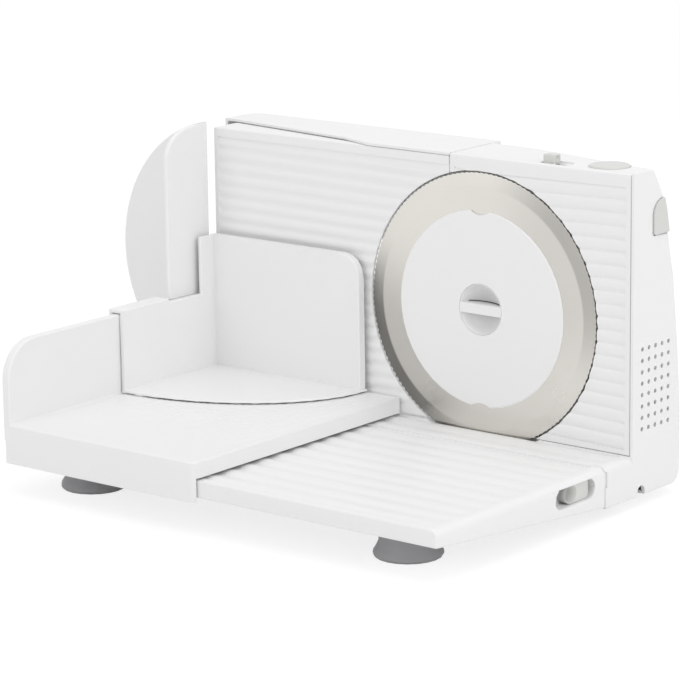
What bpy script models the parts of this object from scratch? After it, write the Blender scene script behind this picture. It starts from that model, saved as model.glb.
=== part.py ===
"""Food slicer with a disc blade, a sliding carriage and a wedge table, in metres with +Z up.

Places are written in the machine's own frame: X runs along the blade's face from the blade's axis,
Y runs back from the plane of the cutting edge, and Z rises from the surface that the slicer stands on.
One empty then carries the whole machine, so that the origin lies under the middle of its box.
"""
import math

import bmesh
import bpy
from mathutils import Matrix, Vector

# Clearances, walls and overruns that all pieces share
GAP = 0.0003
SLIDE_GAP = 0.0005
RUN_GAP = 0.0011
WALL = 0.0025
OVERRUN = 0.002
SKIM = 0.0001

# Main sizes
BLADE_RADIUS = 0.085
BLADE_DIP = 0.009
TOP_MARGIN = 0.010
SIDE_MARGIN = 0.027
TABLE_HEIGHT = 0.032
BASE_LIFT = 0.006
AXIS_HEIGHT = TABLE_HEIGHT + BLADE_RADIUS - BLADE_DIP
TOP_HEIGHT = AXIS_HEIGHT + BLADE_RADIUS + TOP_MARGIN
RIGHT_X = BLADE_RADIUS + SIDE_MARGIN
LEFT_X = -0.215
SEAM_X = -0.0235
FACE_LEAD = 0.001

# Motor housing
HOUSING_REAR_Y = 0.0525
HOUSING_WAIST_HEIGHT = 0.048
TOP_DEPTH = 0.0445
HOUSING_CORNER = 0.004
HOUSING_FRONT_ROUND = 0.0022
HOUSING_FOOT_ROUND = 0.0075
PANEL_RIGHT_INSET = 0.0024
PANEL_RIGHT_X = RIGHT_X - PANEL_RIGHT_INSET
SEAM_GAP = 0.0006
DRUM_RADIUS = 0.038
DRUM_FRONT_Y = 0.0128
REAR_CURVE_SHARES = ((0.0, 0.0), (0.20, 0.06), (0.33, 0.11), (0.43, 0.17), (0.52, 0.26), (0.64, 0.37),
                     (0.72, 0.43), (0.82, 0.58), (0.90, 0.72), (0.97, 0.88))
TOP_DEPTH_SHARES = ((0.0, 0.97), (0.28, 0.93), (0.52, 0.79), (0.70, 0.66), (0.90, 0.51), (1.0, 0.49))

# Fixed base under the housing and the gauge plate
HINGE_Y = -0.0295
BASE_REAR_Y = 0.050
BASE_SKIN = 0.003
EDGE_ROUND = 0.005
BASE_TABLE_GAP = 0.0006
COVER_THICKNESS = 0.002
CORD_NOTCH_Y = 0.0085
CORD_NOTCH_WIDTH = 0.008
CORD_NOTCH_HEIGHT = 0.0065
SEAM_SLOT_WIDTH = 0.0016
SEAM_SLOT_LOW = 0.019
SEAM_SLOT_HIGH = 0.029

# Vents in the housing's side
VENT_COLUMNS = 5
VENT_ROWS = 8
VENT_PITCH = 0.007
VENT_RADIUS = 0.0015
VENT_FIRST_Y = 0.009
VENT_LOW_HEIGHT = 0.0472
VENT_STEPS = 8

# Front panel with the blade's recess
PANEL_THICKNESS = 0.003
RIM_CLEARANCE = 0.0027
RECESS_DEPTH = 0.011
RECESS_HUB_RADIUS = 0.020

# Ribs on the faces that food slides along
FACE_RIB_PITCH = 0.00805
FACE_RIB_DEPTH = 0.0008
FACE_RIB_MARGIN = 0.0035
PANEL_RIB_START_SHARE = 0.4
GAUGE_RIB_START_SHARE = 0.6
GAUGE_RIB_END_SHARE = 0.7
TABLE_RIB_PITCH = 0.0156
TABLE_RIB_DEPTH = 0.0010
TABLE_RIB_MARGIN = 0.0075
TABLE_RIB_REAR_Y = -0.032
TABLE_RIB_COUNT = 10
BASE_RIB_COUNT = 2
RIB_SHARES = ((0.0, 1.0), (0.17, 0.75), (0.33, 0.25), (0.5, 0.0), (0.67, 0.25), (0.83, 0.75))

# Gauge plate that sets the slice thickness
GAUGE_LEFT_X = LEFT_X
GAUGE_RIM_CLEARANCE = 0.0035
GAUGE_TRAVEL = 0.015
GAUGE_PLATE = 0.003
GAUGE_WALL = 0.0022
GAUGE_LEFT_DEPTH = 0.0235
GAUGE_MIDDLE_X = -0.113
GAUGE_MIDDLE_DEPTH = 0.0085
GAUGE_THIN_X = -0.088
GAUGE_ROD_RADIUS = 0.004
GAUGE_ROD_END_Y = 0.0345
GAUGE_BOSS_WALL = 0.0025
GAUGE_BOSS_LENGTH = 0.010

# Arm behind the gauge plate
ARM_LEAD = 0.011
ARM_LEFT_X = GAUGE_LEFT_X - ARM_LEAD
ARM_REAR_Y = 0.053
ARM_ROOF = 0.0015
ARM_DROP = 0.073
ARM_CORNER = 0.012
ARM_BOSS_LENGTH = 0.0205
ARM_BOSS_WALL = 0.003
ROD_PLACE_SHARES = ((0.12, 0.35), (0.62, 0.65))

# Thickness knob and its ramp cam
KNOB_X_SHARE = 0.36
KNOB_DROP = 0.037
KNOB_HEIGHT = TOP_HEIGHT - KNOB_DROP
KNOB_RADIUS = 0.022
KNOB_LENGTH = 0.016
KNOB_TURN = math.radians(300)
KNOB_SHAFT_RADIUS = 0.004
KNOB_FLUTES = 12
KNOB_FLUTE_DEPTH = 0.0012
KNOB_ROUND = 0.002
CAM_INNER_RADIUS = 0.008
CAM_OUTER_RADIUS = 0.015
CAM_BASE = 0.003
CAM_STEPS = 40
CAM_LEAD_IN = math.radians(18)
FOLLOWER_RADIUS = 0.0016
FOLLOWER_CLEARANCE = 0.0006

# Blade with its hub cover and bayonet knob
BLADE_TEETH = 144
TOOTH_DEPTH = 0.0006
BLADE_BEVEL = 0.009
BLADE_CROWN = 0.0011
BLADE_THICKNESS = 0.0012
BLADE_BAND = 0.0105
BLADE_DISH = 0.004
BLADE_DISH_RUN = 0.004
BLADE_BORE = 0.018
BLADE_STEPS = 48
HUB_MARGIN = 0.0037
HUB_RADIUS = BLADE_RADIUS - BLADE_BEVEL - BLADE_BAND - HUB_MARGIN
HUB_LEAD = 0.0018
HUB_THICKNESS = 0.003
HUB_ROUND = 0.0008
HUB_NOTCH_RADIUS = 0.012
HUB_NOTCH_DEPTH = 0.0028
HUB_SLEEVE_RADIUS = 0.0175
HUB_SLEEVE_LENGTH = 0.010
LOCK_RADIUS = 0.0156
LOCK_DISH = 0.0065
LOCK_WALL = 0.0016
LOCK_BAR = 0.0062
LOCK_BAR_TAPER = 0.0008

# Drive inside the housing
SHAFT_RADIUS = 0.004
BUSH_RADIUS = 0.007
BUSH_LENGTH = 0.005
WHEEL_TEETH = 46
WORM_PITCH = 0.004
WORM_RADIUS = 0.006
WHEEL_WIDTH = 0.008
TOOTH_HALF_SHARE = 0.16
THREAD_FLANK_SHARES = (-0.24, -0.08, 0.08, 0.24)
TOOTH_REACH = 0.0008
TOOTH_ROOT = 0.0014
DRIVE_Y = 0.0305
WORM_HALF_LENGTH = 0.012
WORM_TURN_STEPS = 10
MOTOR_RADIUS = 0.0165
MOTOR_LEFT_X = 0.036
MOTOR_INSET = 0.018
MOTOR_LENGTH = RIGHT_X - MOTOR_INSET - MOTOR_LEFT_X
MOTOR_SHAFT_RADIUS = 0.0025
BRACKET_THICKNESS = 0.003
BRACKET_FOOT = 0.0167
BRACKET_RISE = 0.024

# Wedge table
TABLE_FRONT_Y = -0.194
TABLE_FRONT_EDGE = 0.0105
TABLE_REAR_LIFT = 0.007
TABLE_WALL = 0.0025
LOCK_POCKET_FRONT_Y = -0.080
LOCK_POCKET_REAR_Y = -0.040
LOCK_POCKET_LOW = 0.0165
LOCK_POCKET_HIGH = 0.0285
LOCK_POCKET_DEPTH = 0.009
LOCK_SLIDER_LENGTH = 0.0235
LOCK_SLIDER_REAR_GAP = 0.0035
LOCK_SLIDER_SINK = 0.0025
LOCK_DIMPLE_DEPTH = 0.0022
LOCK_POCKET_REAR_ROUND_SHARE = 0.96
LOCK_SLIDER_ROUND_SHARE = 0.9
EAR_X_INSET = 0.020
EAR_WIDTH = 0.016
EAR_REACH = 0.013
EAR_LOW = 0.011
EAR_HIGH = 0.0245
LUG_WALL = 0.005
PIN_RADIUS = 0.0025

# Suction feet
FOOT_LIP_RADIUS = 0.0206
FOOT_NECK_RADIUS = 0.0166
FOOT_HEIGHT = 0.0177
FOOT_STEM_RADIUS = 0.0058
FOOT_STEM_LENGTH = 0.006
FOOT_STEPS = 20
FOOT_RIGHT_INSET = 0.050
FOOT_LEFT_INSET = 0.031
FOOT_RIGHT_X = RIGHT_X - FOOT_RIGHT_INSET
FOOT_LEFT_X = LEFT_X + FOOT_LEFT_INSET
FOOT_FRONT_Y = -0.155
FOOT_REAR_Y = 0.024
FOOT_SEAT_RADIUS = 0.0166
FOOT_PROFILE_SHARES = ((0.73, 0.0), (0.95, 0.0), (1.0, 0.09), (0.985, 0.2), (0.90, 0.36), (0.835, 0.52))
FOOT_CUP_SHARE = 0.2

# Carriage
TRAY_RIGHT_X = -0.063
TRAY_LIFT = 0.0014
TRAY_HEIGHT = 0.0099
SKIRT_DROP = 0.0245
SKIRT_THICKNESS = 0.0025
SKIRT_GAP = 0.001
TRAY_REAR_GAP = 0.0012
TRAY_CORNER = 0.005
RUNNER_INSET = 0.012
RUNNER_WIDTH = 0.003
FENCE_INNER_X = -0.213
FENCE_THICKNESS = 0.006
FENCE_HEIGHT = 0.0945
FENCE_CORNER = 0.024

# Thumb guard on the carriage
GUARD_RADIUS = 0.0895
GUARD_CENTRE_X = -0.1985
GUARD_CENTRE_HEIGHT = 0.118
GUARD_PLATE = 0.0035
GUARD_REAR_Y = -0.0065
GUARD_PANEL_X = -0.2155
GUARD_PANEL_THICKNESS = 0.0035
GUARD_PANEL_DEPTH = 0.040
GUARD_PANEL_TOP = 0.2045
GUARD_PANEL_ROUND_Y = 0.025
GUARD_PANEL_ROUND_Z = 0.020

# Pusher that rides on the fence
PUSHER_WALL_REAR_Y = -0.0037
PUSHER_WALL = 0.0055
PUSHER_RIGHT_X = -0.0895
PUSHER_TOP = 0.1324
PUSHER_CORNER = 0.014
PUSHER_SIDE = 0.0025
PUSHER_FRONT_Y = -0.1014
PUSHER_STRIP_FRONT_Y = -0.022
PUSHER_FLOOR = 0.0032
PUSHER_FLOOR_REACH_X = 0.1245
PUSHER_HOOK_REAR_Y = -0.053
PUSHER_HOOK_THICKNESS = 0.0025
PUSHER_HOOK_LIP = 0.009

# Controls on the housing
BUTTON_INSET = 0.029
BUTTON_X = RIGHT_X - BUTTON_INSET
BUTTON_Y = 0.016
BUTTON_RADIUS = 0.0125
BUTTON_LEAD = 0.001
BUTTON_CAP = 0.0025
BUTTON_STEM_RADIUS = 0.006
BUTTON_TRAVEL = 0.003
SWITCH_INSET = 0.065
SWITCH_X = RIGHT_X - SWITCH_INSET
SWITCH_Y = 0.0075
SWITCH_LENGTH = 0.0083
SWITCH_WIDTH = 0.007
SWITCH_LEAD = 0.005
SWITCH_TRAVEL = 0.008
SWITCH_TRACK_DEPTH = 0.0012
SWITCH_TRACK_MARGIN = 0.002
SWITCH_STEM = 0.003
SWITCH_BODY_DROP = 0.013
SWITCH_BODY_HEIGHT = 0.015
SWITCH_BODY_TOP = TOP_HEIGHT - SWITCH_BODY_DROP
SWITCH_BODY_LOW = SWITCH_BODY_TOP - SWITCH_BODY_HEIGHT
SWITCH_BODY_LEFT = 0.017
SWITCH_BODY_RIGHT = 0.013
SWITCH_BODY_LEFT_X = BUTTON_X - SWITCH_BODY_LEFT
SWITCH_BODY_RIGHT_X = BUTTON_X + SWITCH_BODY_RIGHT
SWITCH_BODY_REAR_Y = 0.0245
SAFETY_FRONT_Y = 0.0192
SAFETY_CREST_Y = 0.0300
SAFETY_DROP = 0.018
SAFETY_HEIGHT = 0.0215
SAFETY_LOW = TOP_HEIGHT - SAFETY_DROP - SAFETY_HEIGHT
SAFETY_SHOULDER = 0.0120
SAFETY_LEAD = 0.0012
SAFETY_TRAVEL = 0.003
SAFETY_DEPTH = 0.006
SAFETY_BODY_DEPTH = 0.0095
SAFETY_BODY_MARGIN = 0.003

# Facets
ROUND_STEPS = 32
SMALL_STEPS = 16
CORNER_STEPS = 4
ARC_STEPS = 28

# Colours, roughness and metal share of each material
FINISHES = {
    "white_abs": ((0.86, 0.86, 0.85), 0.42, 0.0),
    "white_gloss": ((0.88, 0.88, 0.87), 0.28, 0.0),
    "pale_grey": ((0.62, 0.62, 0.61), 0.45, 0.0),
    "dark_rubber": ((0.13, 0.13, 0.135), 0.75, 0.0),
    "dark_plastic": ((0.10, 0.10, 0.11), 0.50, 0.0),
    "blade_steel": ((0.62, 0.60, 0.57), 0.22, 1.0),
    "bright_steel": ((0.58, 0.58, 0.58), 0.30, 1.0),
    "motor_steel": ((0.34, 0.34, 0.35), 0.40, 1.0),
    "gear_nylon": ((0.78, 0.76, 0.68), 0.50, 0.0),
    "bush_brass": ((0.55, 0.40, 0.18), 0.35, 1.0),
}


def clear_scene():
    for thing in list(bpy.data.objects):
        bpy.data.objects.remove(thing, do_unlink=True)


def finish_material(key):
    """Returns the material of that name, made once."""
    if key in bpy.data.materials:
        return bpy.data.materials[key]
    colour, roughness, metallic = FINISHES[key]
    material = bpy.data.materials.new(key)
    material.use_nodes = True
    shader = material.node_tree.nodes["Principled BSDF"]
    shader.inputs["Base Color"].default_value = (*colour, 1.0)
    shader.inputs["Roughness"].default_value = roughness
    shader.inputs["Metallic"].default_value = metallic
    return material


def machine_frame():
    """An empty that puts the middle of the machine's box over the origin."""
    left_x = GUARD_CENTRE_X - GUARD_RADIUS
    front_y = skirt_front_y()
    rear_y = ARM_REAR_Y + GAP + KNOB_LENGTH
    empty = bpy.data.objects.new("slicer_frame", None)
    empty.location = (-(left_x + RIGHT_X + SAFETY_LEAD) / 2, -(front_y + rear_y) / 2, 0)
    bpy.context.scene.collection.objects.link(empty)
    return empty


def on_axis(axis, u, v, w):
    """A point whose w lies along the axis: u, v are Y, Z for X, then X, Z for Y and X, Y for Z."""
    return {"X": Vector((w, u, v)), "Y": Vector((u, w, v)), "Z": Vector((u, v, w))}[axis]


def as_object(name, mesh_data):
    mesh = bpy.data.meshes.new(name)
    bmesh.ops.recalc_face_normals(mesh_data, faces=mesh_data.faces)
    mesh_data.to_mesh(mesh)
    mesh_data.free()
    thing = bpy.data.objects.new(name, mesh)
    thing.parent = FRAME
    bpy.context.scene.collection.objects.link(thing)
    return thing


def prism(name, outline, axis, start, stop):
    """Extrudes a closed outline along an axis."""
    work = bmesh.new()
    face = work.faces.new([work.verts.new(on_axis(axis, u, v, start)) for u, v in outline])
    swept = bmesh.ops.extrude_face_region(work, geom=[face])["geom"]
    moved = [item for item in swept if isinstance(item, bmesh.types.BMVert)]
    bmesh.ops.translate(work, verts=moved, vec=on_axis(axis, 0, 0, stop - start))
    return as_object(name, work)


def block(name, x_range, y_range, z_range):
    outline = rectangle(x_range[0], x_range[1], y_range[0], y_range[1])
    return prism(name, outline, "Z", z_range[0], z_range[1])


def rectangle(u0, u1, v0, v1):
    return [(u0, v0), (u1, v0), (u1, v1), (u0, v1)]


def arc(centre_u, centre_v, radius_u, radius_v, start, stop, steps):
    """Points along an ellipse from one angle to another, both ends included."""
    points = []
    for step in range(steps + 1):
        angle = start + (stop - start) * step / steps
        points.append((centre_u + radius_u * math.cos(angle), centre_v + radius_v * math.sin(angle)))
    return points


def rounded_rectangle(u0, u1, v0, v1, radii):
    """A rectangle with one radius for each corner, from the low one round by the +u side."""
    low_low, high_low, high_high, low_high = radii
    corners = (
        (u0 + low_low, v0 + low_low, low_low, math.pi, 1.5 * math.pi),
        (u1 - high_low, v0 + high_low, high_low, 1.5 * math.pi, 2 * math.pi),
        (u1 - high_high, v1 - high_high, high_high, 0, math.pi / 2),
        (u0 + low_high, v1 - low_high, low_high, math.pi / 2, math.pi),
    )
    points = []
    for centre_u, centre_v, radius, start, stop in corners:
        if radius:
            points += arc(centre_u, centre_v, radius, radius, start, stop, CORNER_STEPS)
        else:
            points.append((centre_u, centre_v))
    return points


def add_turned(work, profile, axis, centre, steps=SMALL_STEPS, closed=False, shift=0):
    """Turns a profile of (radius, along) pairs about an axis.

    With closed its end joins its start; else flat ends are closed by one face each. With shift its corners
    turn by that share of a facet.
    """
    rings = []
    for radius, along in profile:
        count = steps if radius else 1
        ring = []
        for step in range(count):
            angle = 2 * math.pi * (step + shift) / steps
            u = centre[0] + radius * math.cos(angle)
            v = centre[1] + radius * math.sin(angle)
            ring.append(work.verts.new(on_axis(axis, u, v, along)))
        rings.append(ring)
    for first, second in zip(rings, rings[1:]):
        bridge_rings(work, first, second)
    if closed:
        bridge_rings(work, rings[-1], rings[0])
        return
    for ring in (rings[0], rings[-1]):
        if len(ring) > 1:
            work.faces.new(ring)


def turned(name, profile, axis, centre, steps=SMALL_STEPS, closed=False, shift=0):
    work = bmesh.new()
    add_turned(work, profile, axis, centre, steps, closed, shift)
    return as_object(name, work)


def rod(name, radius, start, stop, axis, centre, steps=SMALL_STEPS, shift=0):
    """A plain cylinder along an axis."""
    return turned(name, [(radius, start), (radius, stop)], axis, centre, steps, shift=shift)


def hole(name, radius, start, stop, axis, centre, steps=SMALL_STEPS):
    """A cylinder for cutting, whose corners fall between those of a boss round it."""
    return rod(name, radius, start, stop, axis, centre, steps, 0.3)


def bridge_rings(work, first, second):
    """Faces between two rings of points, where one of them may be a single point."""
    count = max(len(first), len(second))
    for step in range(count):
        following = (step + 1) % count
        if len(first) == 1:
            work.faces.new((first[0], second[step], second[following]))
        elif len(second) == 1:
            work.faces.new((first[step], first[following], second[0]))
        else:
            work.faces.new((first[step], first[following], second[following], second[step]))


def boolean(piece, tool, operation="DIFFERENCE"):
    """Adds a Boolean step with a tool that stays in the file as a hidden wire shape."""
    tool.hide_render = True
    tool.display_type = "WIRE"
    step = piece.modifiers.new(tool.name, "BOOLEAN")
    step.operation = operation
    step.solver = "EXACT"
    step.object = tool
    return piece


def join(piece, tool):
    return boolean(piece, tool, "UNION")


def keep(piece, tool):
    return boolean(piece, tool, "INTERSECT")


def finished(piece, material, origin=(0, 0, 0), smooth_degrees=35):
    """Gives a piece its material, its shading and an origin in the machine's frame."""
    mesh = piece.data
    mesh.transform(Matrix.Translation(-Vector(origin)))
    piece.location = origin
    mesh.shade_smooth()
    mesh.set_sharp_from_angle(angle=math.radians(smooth_degrees))
    mesh.materials.clear()
    mesh.materials.append(finish_material(material))
    return piece


def skirt_front_y():
    return TABLE_FRONT_Y - SKIRT_GAP - SKIRT_THICKNESS


def rim_radius():
    return BLADE_RADIUS + RIM_CLEARANCE


def gauge_rim_radius():
    return BLADE_RADIUS + GAUGE_RIM_CLEARANCE


def gauge_top():
    return TOP_HEIGHT - ARM_ROOF - GAP


def knob_x():
    return ARM_LEFT_X + (SEAM_X - ARM_LEFT_X) * KNOB_X_SHARE


def rod_places():
    """X and height of each guide rod, as shares of the arm's length and drop."""
    low = TOP_HEIGHT - ARM_DROP
    length = SEAM_X - ARM_LEFT_X
    return [(ARM_LEFT_X + length * along, low + ARM_DROP * up) for along, up in ROD_PLACE_SHARES]


def rib_comb(name, first, last, level, pitch, depth, along, side, flip):
    """A cutter whose lower side is a row of rounded ribs.

    It runs from first to last across the ribs, and its ribs run along X over the range in along.
    With side "top" it cuts down from a level height, and with "front" it cuts back from a face.
    """
    count = int(round((last - first) / pitch))
    step = (last - first) / count
    wave = []
    for rib in range(count):
        for across, drop in RIB_SHARES:
            wave.append((first + step * (rib + across), level + flip * (SKIM + depth * drop)))
    wave.append((last, level + flip * (SKIM + depth)))
    outer = level - flip * OVERRUN
    points = wave + [(last, outer), (first, outer)]
    outline = points if side == "top" else [(v, u) for u, v in points]
    return prism(name, outline, "X", along[0], along[1])


def top_depth(share):
    """Depth of the flat top at a share of the housing's length."""
    for (start, deep), (stop, shallow) in zip(TOP_DEPTH_SHARES, TOP_DEPTH_SHARES[1:]):
        if share <= stop:
            return TOP_DEPTH * (deep + (shallow - deep) * (share - start) / (stop - start))
    return TOP_DEPTH * TOP_DEPTH_SHARES[-1][1]


def housing_section(share, inset, top, face_y, bottom):
    """The housing's outline across X: front face, top, leaning back and rounded heel."""
    depth = top_depth(share) - inset
    rear = HOUSING_REAR_Y - inset
    points = [(face_y, bottom), (face_y, top)]
    for back, down in REAR_CURVE_SHARES:
        points.append((depth + (rear - depth) * back, top - (top - HOUSING_WAIST_HEIGHT) * down))
    points.append((rear, HOUSING_WAIST_HEIGHT))
    heel = HOUSING_FOOT_ROUND
    return points + arc(rear - heel, bottom + heel, heel, heel, 0, -math.pi / 2, CORNER_STEPS // 2)


def loft(name, sections):
    """Bridges outlines that stand at growing X and closes both ends."""
    work = bmesh.new()
    rings = [[work.verts.new((x, y, z)) for y, z in outline] for x, outline in sections]
    for first, second in zip(rings, rings[1:]):
        bridge_rings(work, first, second)
    work.faces.new(rings[0])
    work.faces.new(rings[-1])
    return as_object(name, work)


def housing_form(name, inset, left_x, face_y, bottom):
    """The housing's form, moved in by an inset, with its rounded right corner."""
    straight = RIGHT_X - HOUSING_CORNER
    radius = HOUSING_CORNER - inset
    top = TOP_HEIGHT - inset
    sections = []
    for share, _ in TOP_DEPTH_SHARES:
        x = left_x + (straight - left_x) * share
        sections.append((x, housing_section(share, inset, top, face_y, bottom)))
    for step in range(1, CORNER_STEPS):
        angle = math.pi / 2 * step / (CORNER_STEPS - 1)
        drawn_in = HOUSING_CORNER - radius * math.cos(angle)
        outline = housing_section(1, drawn_in, top, face_y, bottom)
        sections.append((straight + radius * math.sin(angle), outline))
    return loft(name, sections)


def housing_inside(name, clearance):
    """The room inside above the base, less a clearance, for cutting and for trimming what sits in it."""
    inset = WALL + clearance
    face = PANEL_THICKNESS - FACE_LEAD - OVERRUN
    return housing_form(name, inset, SEAM_X + inset, face, TABLE_HEIGHT + clearance)


def deck_outline(bottom):
    """The base or the table seen from the front, with the right top edge rounded."""
    return ([(LEFT_X, bottom), (RIGHT_X, bottom)]
            + arc(RIGHT_X - EDGE_ROUND, TABLE_HEIGHT - EDGE_ROUND, EDGE_ROUND, EDGE_ROUND, 0, math.pi / 2,
                  CORNER_STEPS)
            + [(LEFT_X, TABLE_HEIGHT)])


def base_block():
    """The base's full form, which ends inside the housing on its right."""
    front = HINGE_Y + BASE_TABLE_GAP
    inside = RIGHT_X - 2 * HOUSING_CORNER
    plan = [(LEFT_X, front), (RIGHT_X, front), (RIGHT_X, WALL), (inside, WALL), (inside, BASE_REAR_Y)]
    plan += arc(LEFT_X + EDGE_ROUND, BASE_REAR_Y - EDGE_ROUND, EDGE_ROUND, EDGE_ROUND, math.pi / 2, math.pi,
                CORNER_STEPS)
    base = prism("base_block", plan, "Z", BASE_LIFT, TABLE_HEIGHT)
    return keep(base, prism("base_edge", deck_outline(0), "Y", front - OVERRUN, BASE_REAR_Y + OVERRUN))


def cut_vents(body):
    """A grid of small round holes through the side wall."""
    profile = [(VENT_RADIUS, RIGHT_X - WALL - OVERRUN), (VENT_RADIUS, RIGHT_X + OVERRUN)]
    work = bmesh.new()
    for column in range(VENT_COLUMNS):
        for row in range(VENT_ROWS):
            centre = (VENT_FIRST_Y + VENT_PITCH * column, VENT_LOW_HEIGHT + VENT_PITCH * row)
            add_turned(work, profile, "X", centre, VENT_STEPS, shift=0.5)
    boolean(body, as_object("vent_holes", work))


def tube_profile(inner, outer, start, stop):
    return [(inner, start), (outer, start), (outer, stop), (inner, stop)]


def ear_places():
    """Middle X of each hinge ear."""
    return (LEFT_X + EAR_X_INSET, RIGHT_X - EAR_X_INSET)


def pin_place():
    """Y and height of the hinge pins."""
    return (HINGE_Y + EAR_REACH / 2, (EAR_LOW + EAR_HIGH) / 2)


def safety_outline(grow):
    """The side button's arch, which runs out over the housing's rear edge."""
    front = SAFETY_FRONT_Y - grow
    low = SAFETY_LOW - grow
    crest = SAFETY_LOW + SAFETY_HEIGHT + grow
    shoulder = SAFETY_LOW + SAFETY_SHOULDER
    beyond = HOUSING_REAR_Y
    arch = arc(SAFETY_CREST_Y, shoulder, SAFETY_CREST_Y - front, crest - shoulder, math.pi, math.pi / 2,
               2 * CORNER_STEPS)
    foot = arc(front + WALL, low + WALL, WALL, WALL, 1.5 * math.pi, math.pi, CORNER_STEPS)
    return [(beyond, low)] + foot + arch + [(beyond, crest)]


def switch_track_outline(grow):
    """The slide switch's sunk track seen from above."""
    half = SWITCH_WIDTH / 2 + SWITCH_TRACK_MARGIN + grow
    left = SWITCH_X - SWITCH_LENGTH / 2 - SWITCH_TRACK_MARGIN - grow
    right = SWITCH_X + SWITCH_LENGTH / 2 + SWITCH_TRAVEL + SWITCH_TRACK_MARGIN + grow
    return rounded_rectangle(left, right, SWITCH_Y - half, SWITCH_Y + half, (half / 2,) * 4)


def motor_housing():
    """The moulded body: hollow, with the fixed base, gear drum, vents, control holes and cord notch."""
    body = housing_form("motor_housing", 0, SEAM_X, -FACE_LEAD, BASE_LIFT)
    cut_blade_room(body)
    join(body, base_block())
    drum = rod("drum", DRUM_RADIUS, DRUM_FRONT_Y, BASE_REAR_Y, "Y", (0, AXIS_HEIGHT), ROUND_STEPS)
    join(body, drum)
    boolean(body, housing_inside("housing_cavity", 0))
    boolean(body, block("base_room", (LEFT_X + WALL, RIGHT_X - WALL),
                        (HINGE_Y + BASE_TABLE_GAP + WALL, BASE_REAR_Y - WALL),
                        (BASE_LIFT - OVERRUN, TABLE_HEIGHT - BASE_SKIN)))
    cut_blade_slot(body)
    drum_front = rod("drum_front", DRUM_RADIUS, DRUM_FRONT_Y, DRUM_FRONT_Y + WALL,
                     "Y", (0, AXIS_HEIGHT), ROUND_STEPS)
    drum_room = rod("drum_room", DRUM_RADIUS - WALL, DRUM_FRONT_Y + WALL, BASE_REAR_Y - WALL,
                    "Y", (0, AXIS_HEIGHT), ROUND_STEPS)
    join(body, drum_front)
    boolean(body, drum_room)
    boolean(body, panel_seat())
    add_rear_bearing_boss(body)
    boolean(body, hole("front_bush_hole", BUSH_RADIUS + GAP, 0, DRUM_FRONT_Y + WALL + OVERRUN,
                       "Y", (0, AXIS_HEIGHT)))
    for x in (FOOT_LEFT_X, FOOT_RIGHT_X):
        seat_foot(body, x, FOOT_REAR_Y, TABLE_HEIGHT - BASE_SKIN)
    add_hinge_lugs(body)
    cut_controls(body)
    cut_vents(body)
    cut_cord_notch(body)
    cut_seam_slot(body)
    boolean(body, rib_comb("base_ribs", TABLE_RIB_REAR_Y, TABLE_RIB_REAR_Y + BASE_RIB_COUNT * TABLE_RIB_PITCH,
                           TABLE_HEIGHT, TABLE_RIB_PITCH, TABLE_RIB_DEPTH,
                           (LEFT_X - OVERRUN, RIGHT_X - TABLE_RIB_MARGIN), "top", -1))
    return finished(body, "white_abs")


def cut_blade_room(piece):
    """Room for the blade and the panel's dish behind it, where they pass a side wall."""
    radius = rim_radius() + WALL + SLIDE_GAP
    boolean(piece, hole("blade_room", radius, -FACE_LEAD - OVERRUN, DRUM_FRONT_Y - GAP,
                        "Y", (0, AXIS_HEIGHT), 2 * ARC_STEPS))


def cut_blade_slot(body):
    """The slot in the base for the blade's lowest part."""
    boolean(body, hole("blade_slot", rim_radius(), -BLADE_CROWN - RUN_GAP, BLADE_DISH + RUN_GAP, "Y",
                       (0, AXIS_HEIGHT), 2 * ARC_STEPS))


def panel_seat():
    """The space that the front panel fills, with its seam on the right."""
    return block("panel_seat", (SEAM_X - OVERRUN, PANEL_RIGHT_X + SEAM_GAP),
                 (-FACE_LEAD - OVERRUN, PANEL_THICKNESS - FACE_LEAD + GAP),
                 (TABLE_HEIGHT, TOP_HEIGHT + OVERRUN))


def add_rear_bearing_boss(body):
    """A collar on the rear wall that holds the shaft's rear bush."""
    start = BASE_REAR_Y - WALL - BUSH_LENGTH
    stop = BASE_REAR_Y - SKIM
    join(body, rod("rear_boss", BUSH_RADIUS + WALL, start, stop, "Y", (0, AXIS_HEIGHT)))
    boolean(body, hole("rear_bush_hole", BUSH_RADIUS + GAP, start - OVERRUN, BASE_REAR_Y - WALL,
                       "Y", (0, AXIS_HEIGHT)))


def seat_foot(body, x, y, ceiling):
    """A round boss under a skin, with a blind bore for the foot's stem."""
    seat = FOOT_HEIGHT + GAP
    join(body, rod("foot_boss", FOOT_SEAT_RADIUS, seat, ceiling + SKIM, "Z", (x, y), FOOT_STEPS))
    boolean(body, hole("stem_bore", FOOT_STEM_RADIUS + GAP, seat - OVERRUN, seat + FOOT_STEM_LENGTH + GAP,
                       "Z", (x, y)))


def add_hinge_lugs(body):
    """Blocks in the base that hold each hinge pin, slotted for the table's ears."""
    pin_y, pin_z = pin_place()
    front = HINGE_Y + BASE_TABLE_GAP
    for middle in ear_places():
        half = EAR_WIDTH / 2 + LUG_WALL
        join(body, block("lug", (middle - half, middle + half), (front + SKIM, front + EAR_REACH + LUG_WALL),
                         (EAR_LOW - WALL + GAP, TABLE_HEIGHT - BASE_SKIN + SKIM)))
        slot = EAR_WIDTH / 2 + GAP
        boolean(body, block("ear_slot", (middle - slot, middle + slot), (front - OVERRUN, front + EAR_REACH),
                            (BASE_LIFT - OVERRUN, EAR_HIGH + GAP)))
        boolean(body, hole("pin_bore", PIN_RADIUS + GAP, middle - half + WALL, middle + half - WALL,
                           "X", (pin_y, pin_z)))


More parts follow.
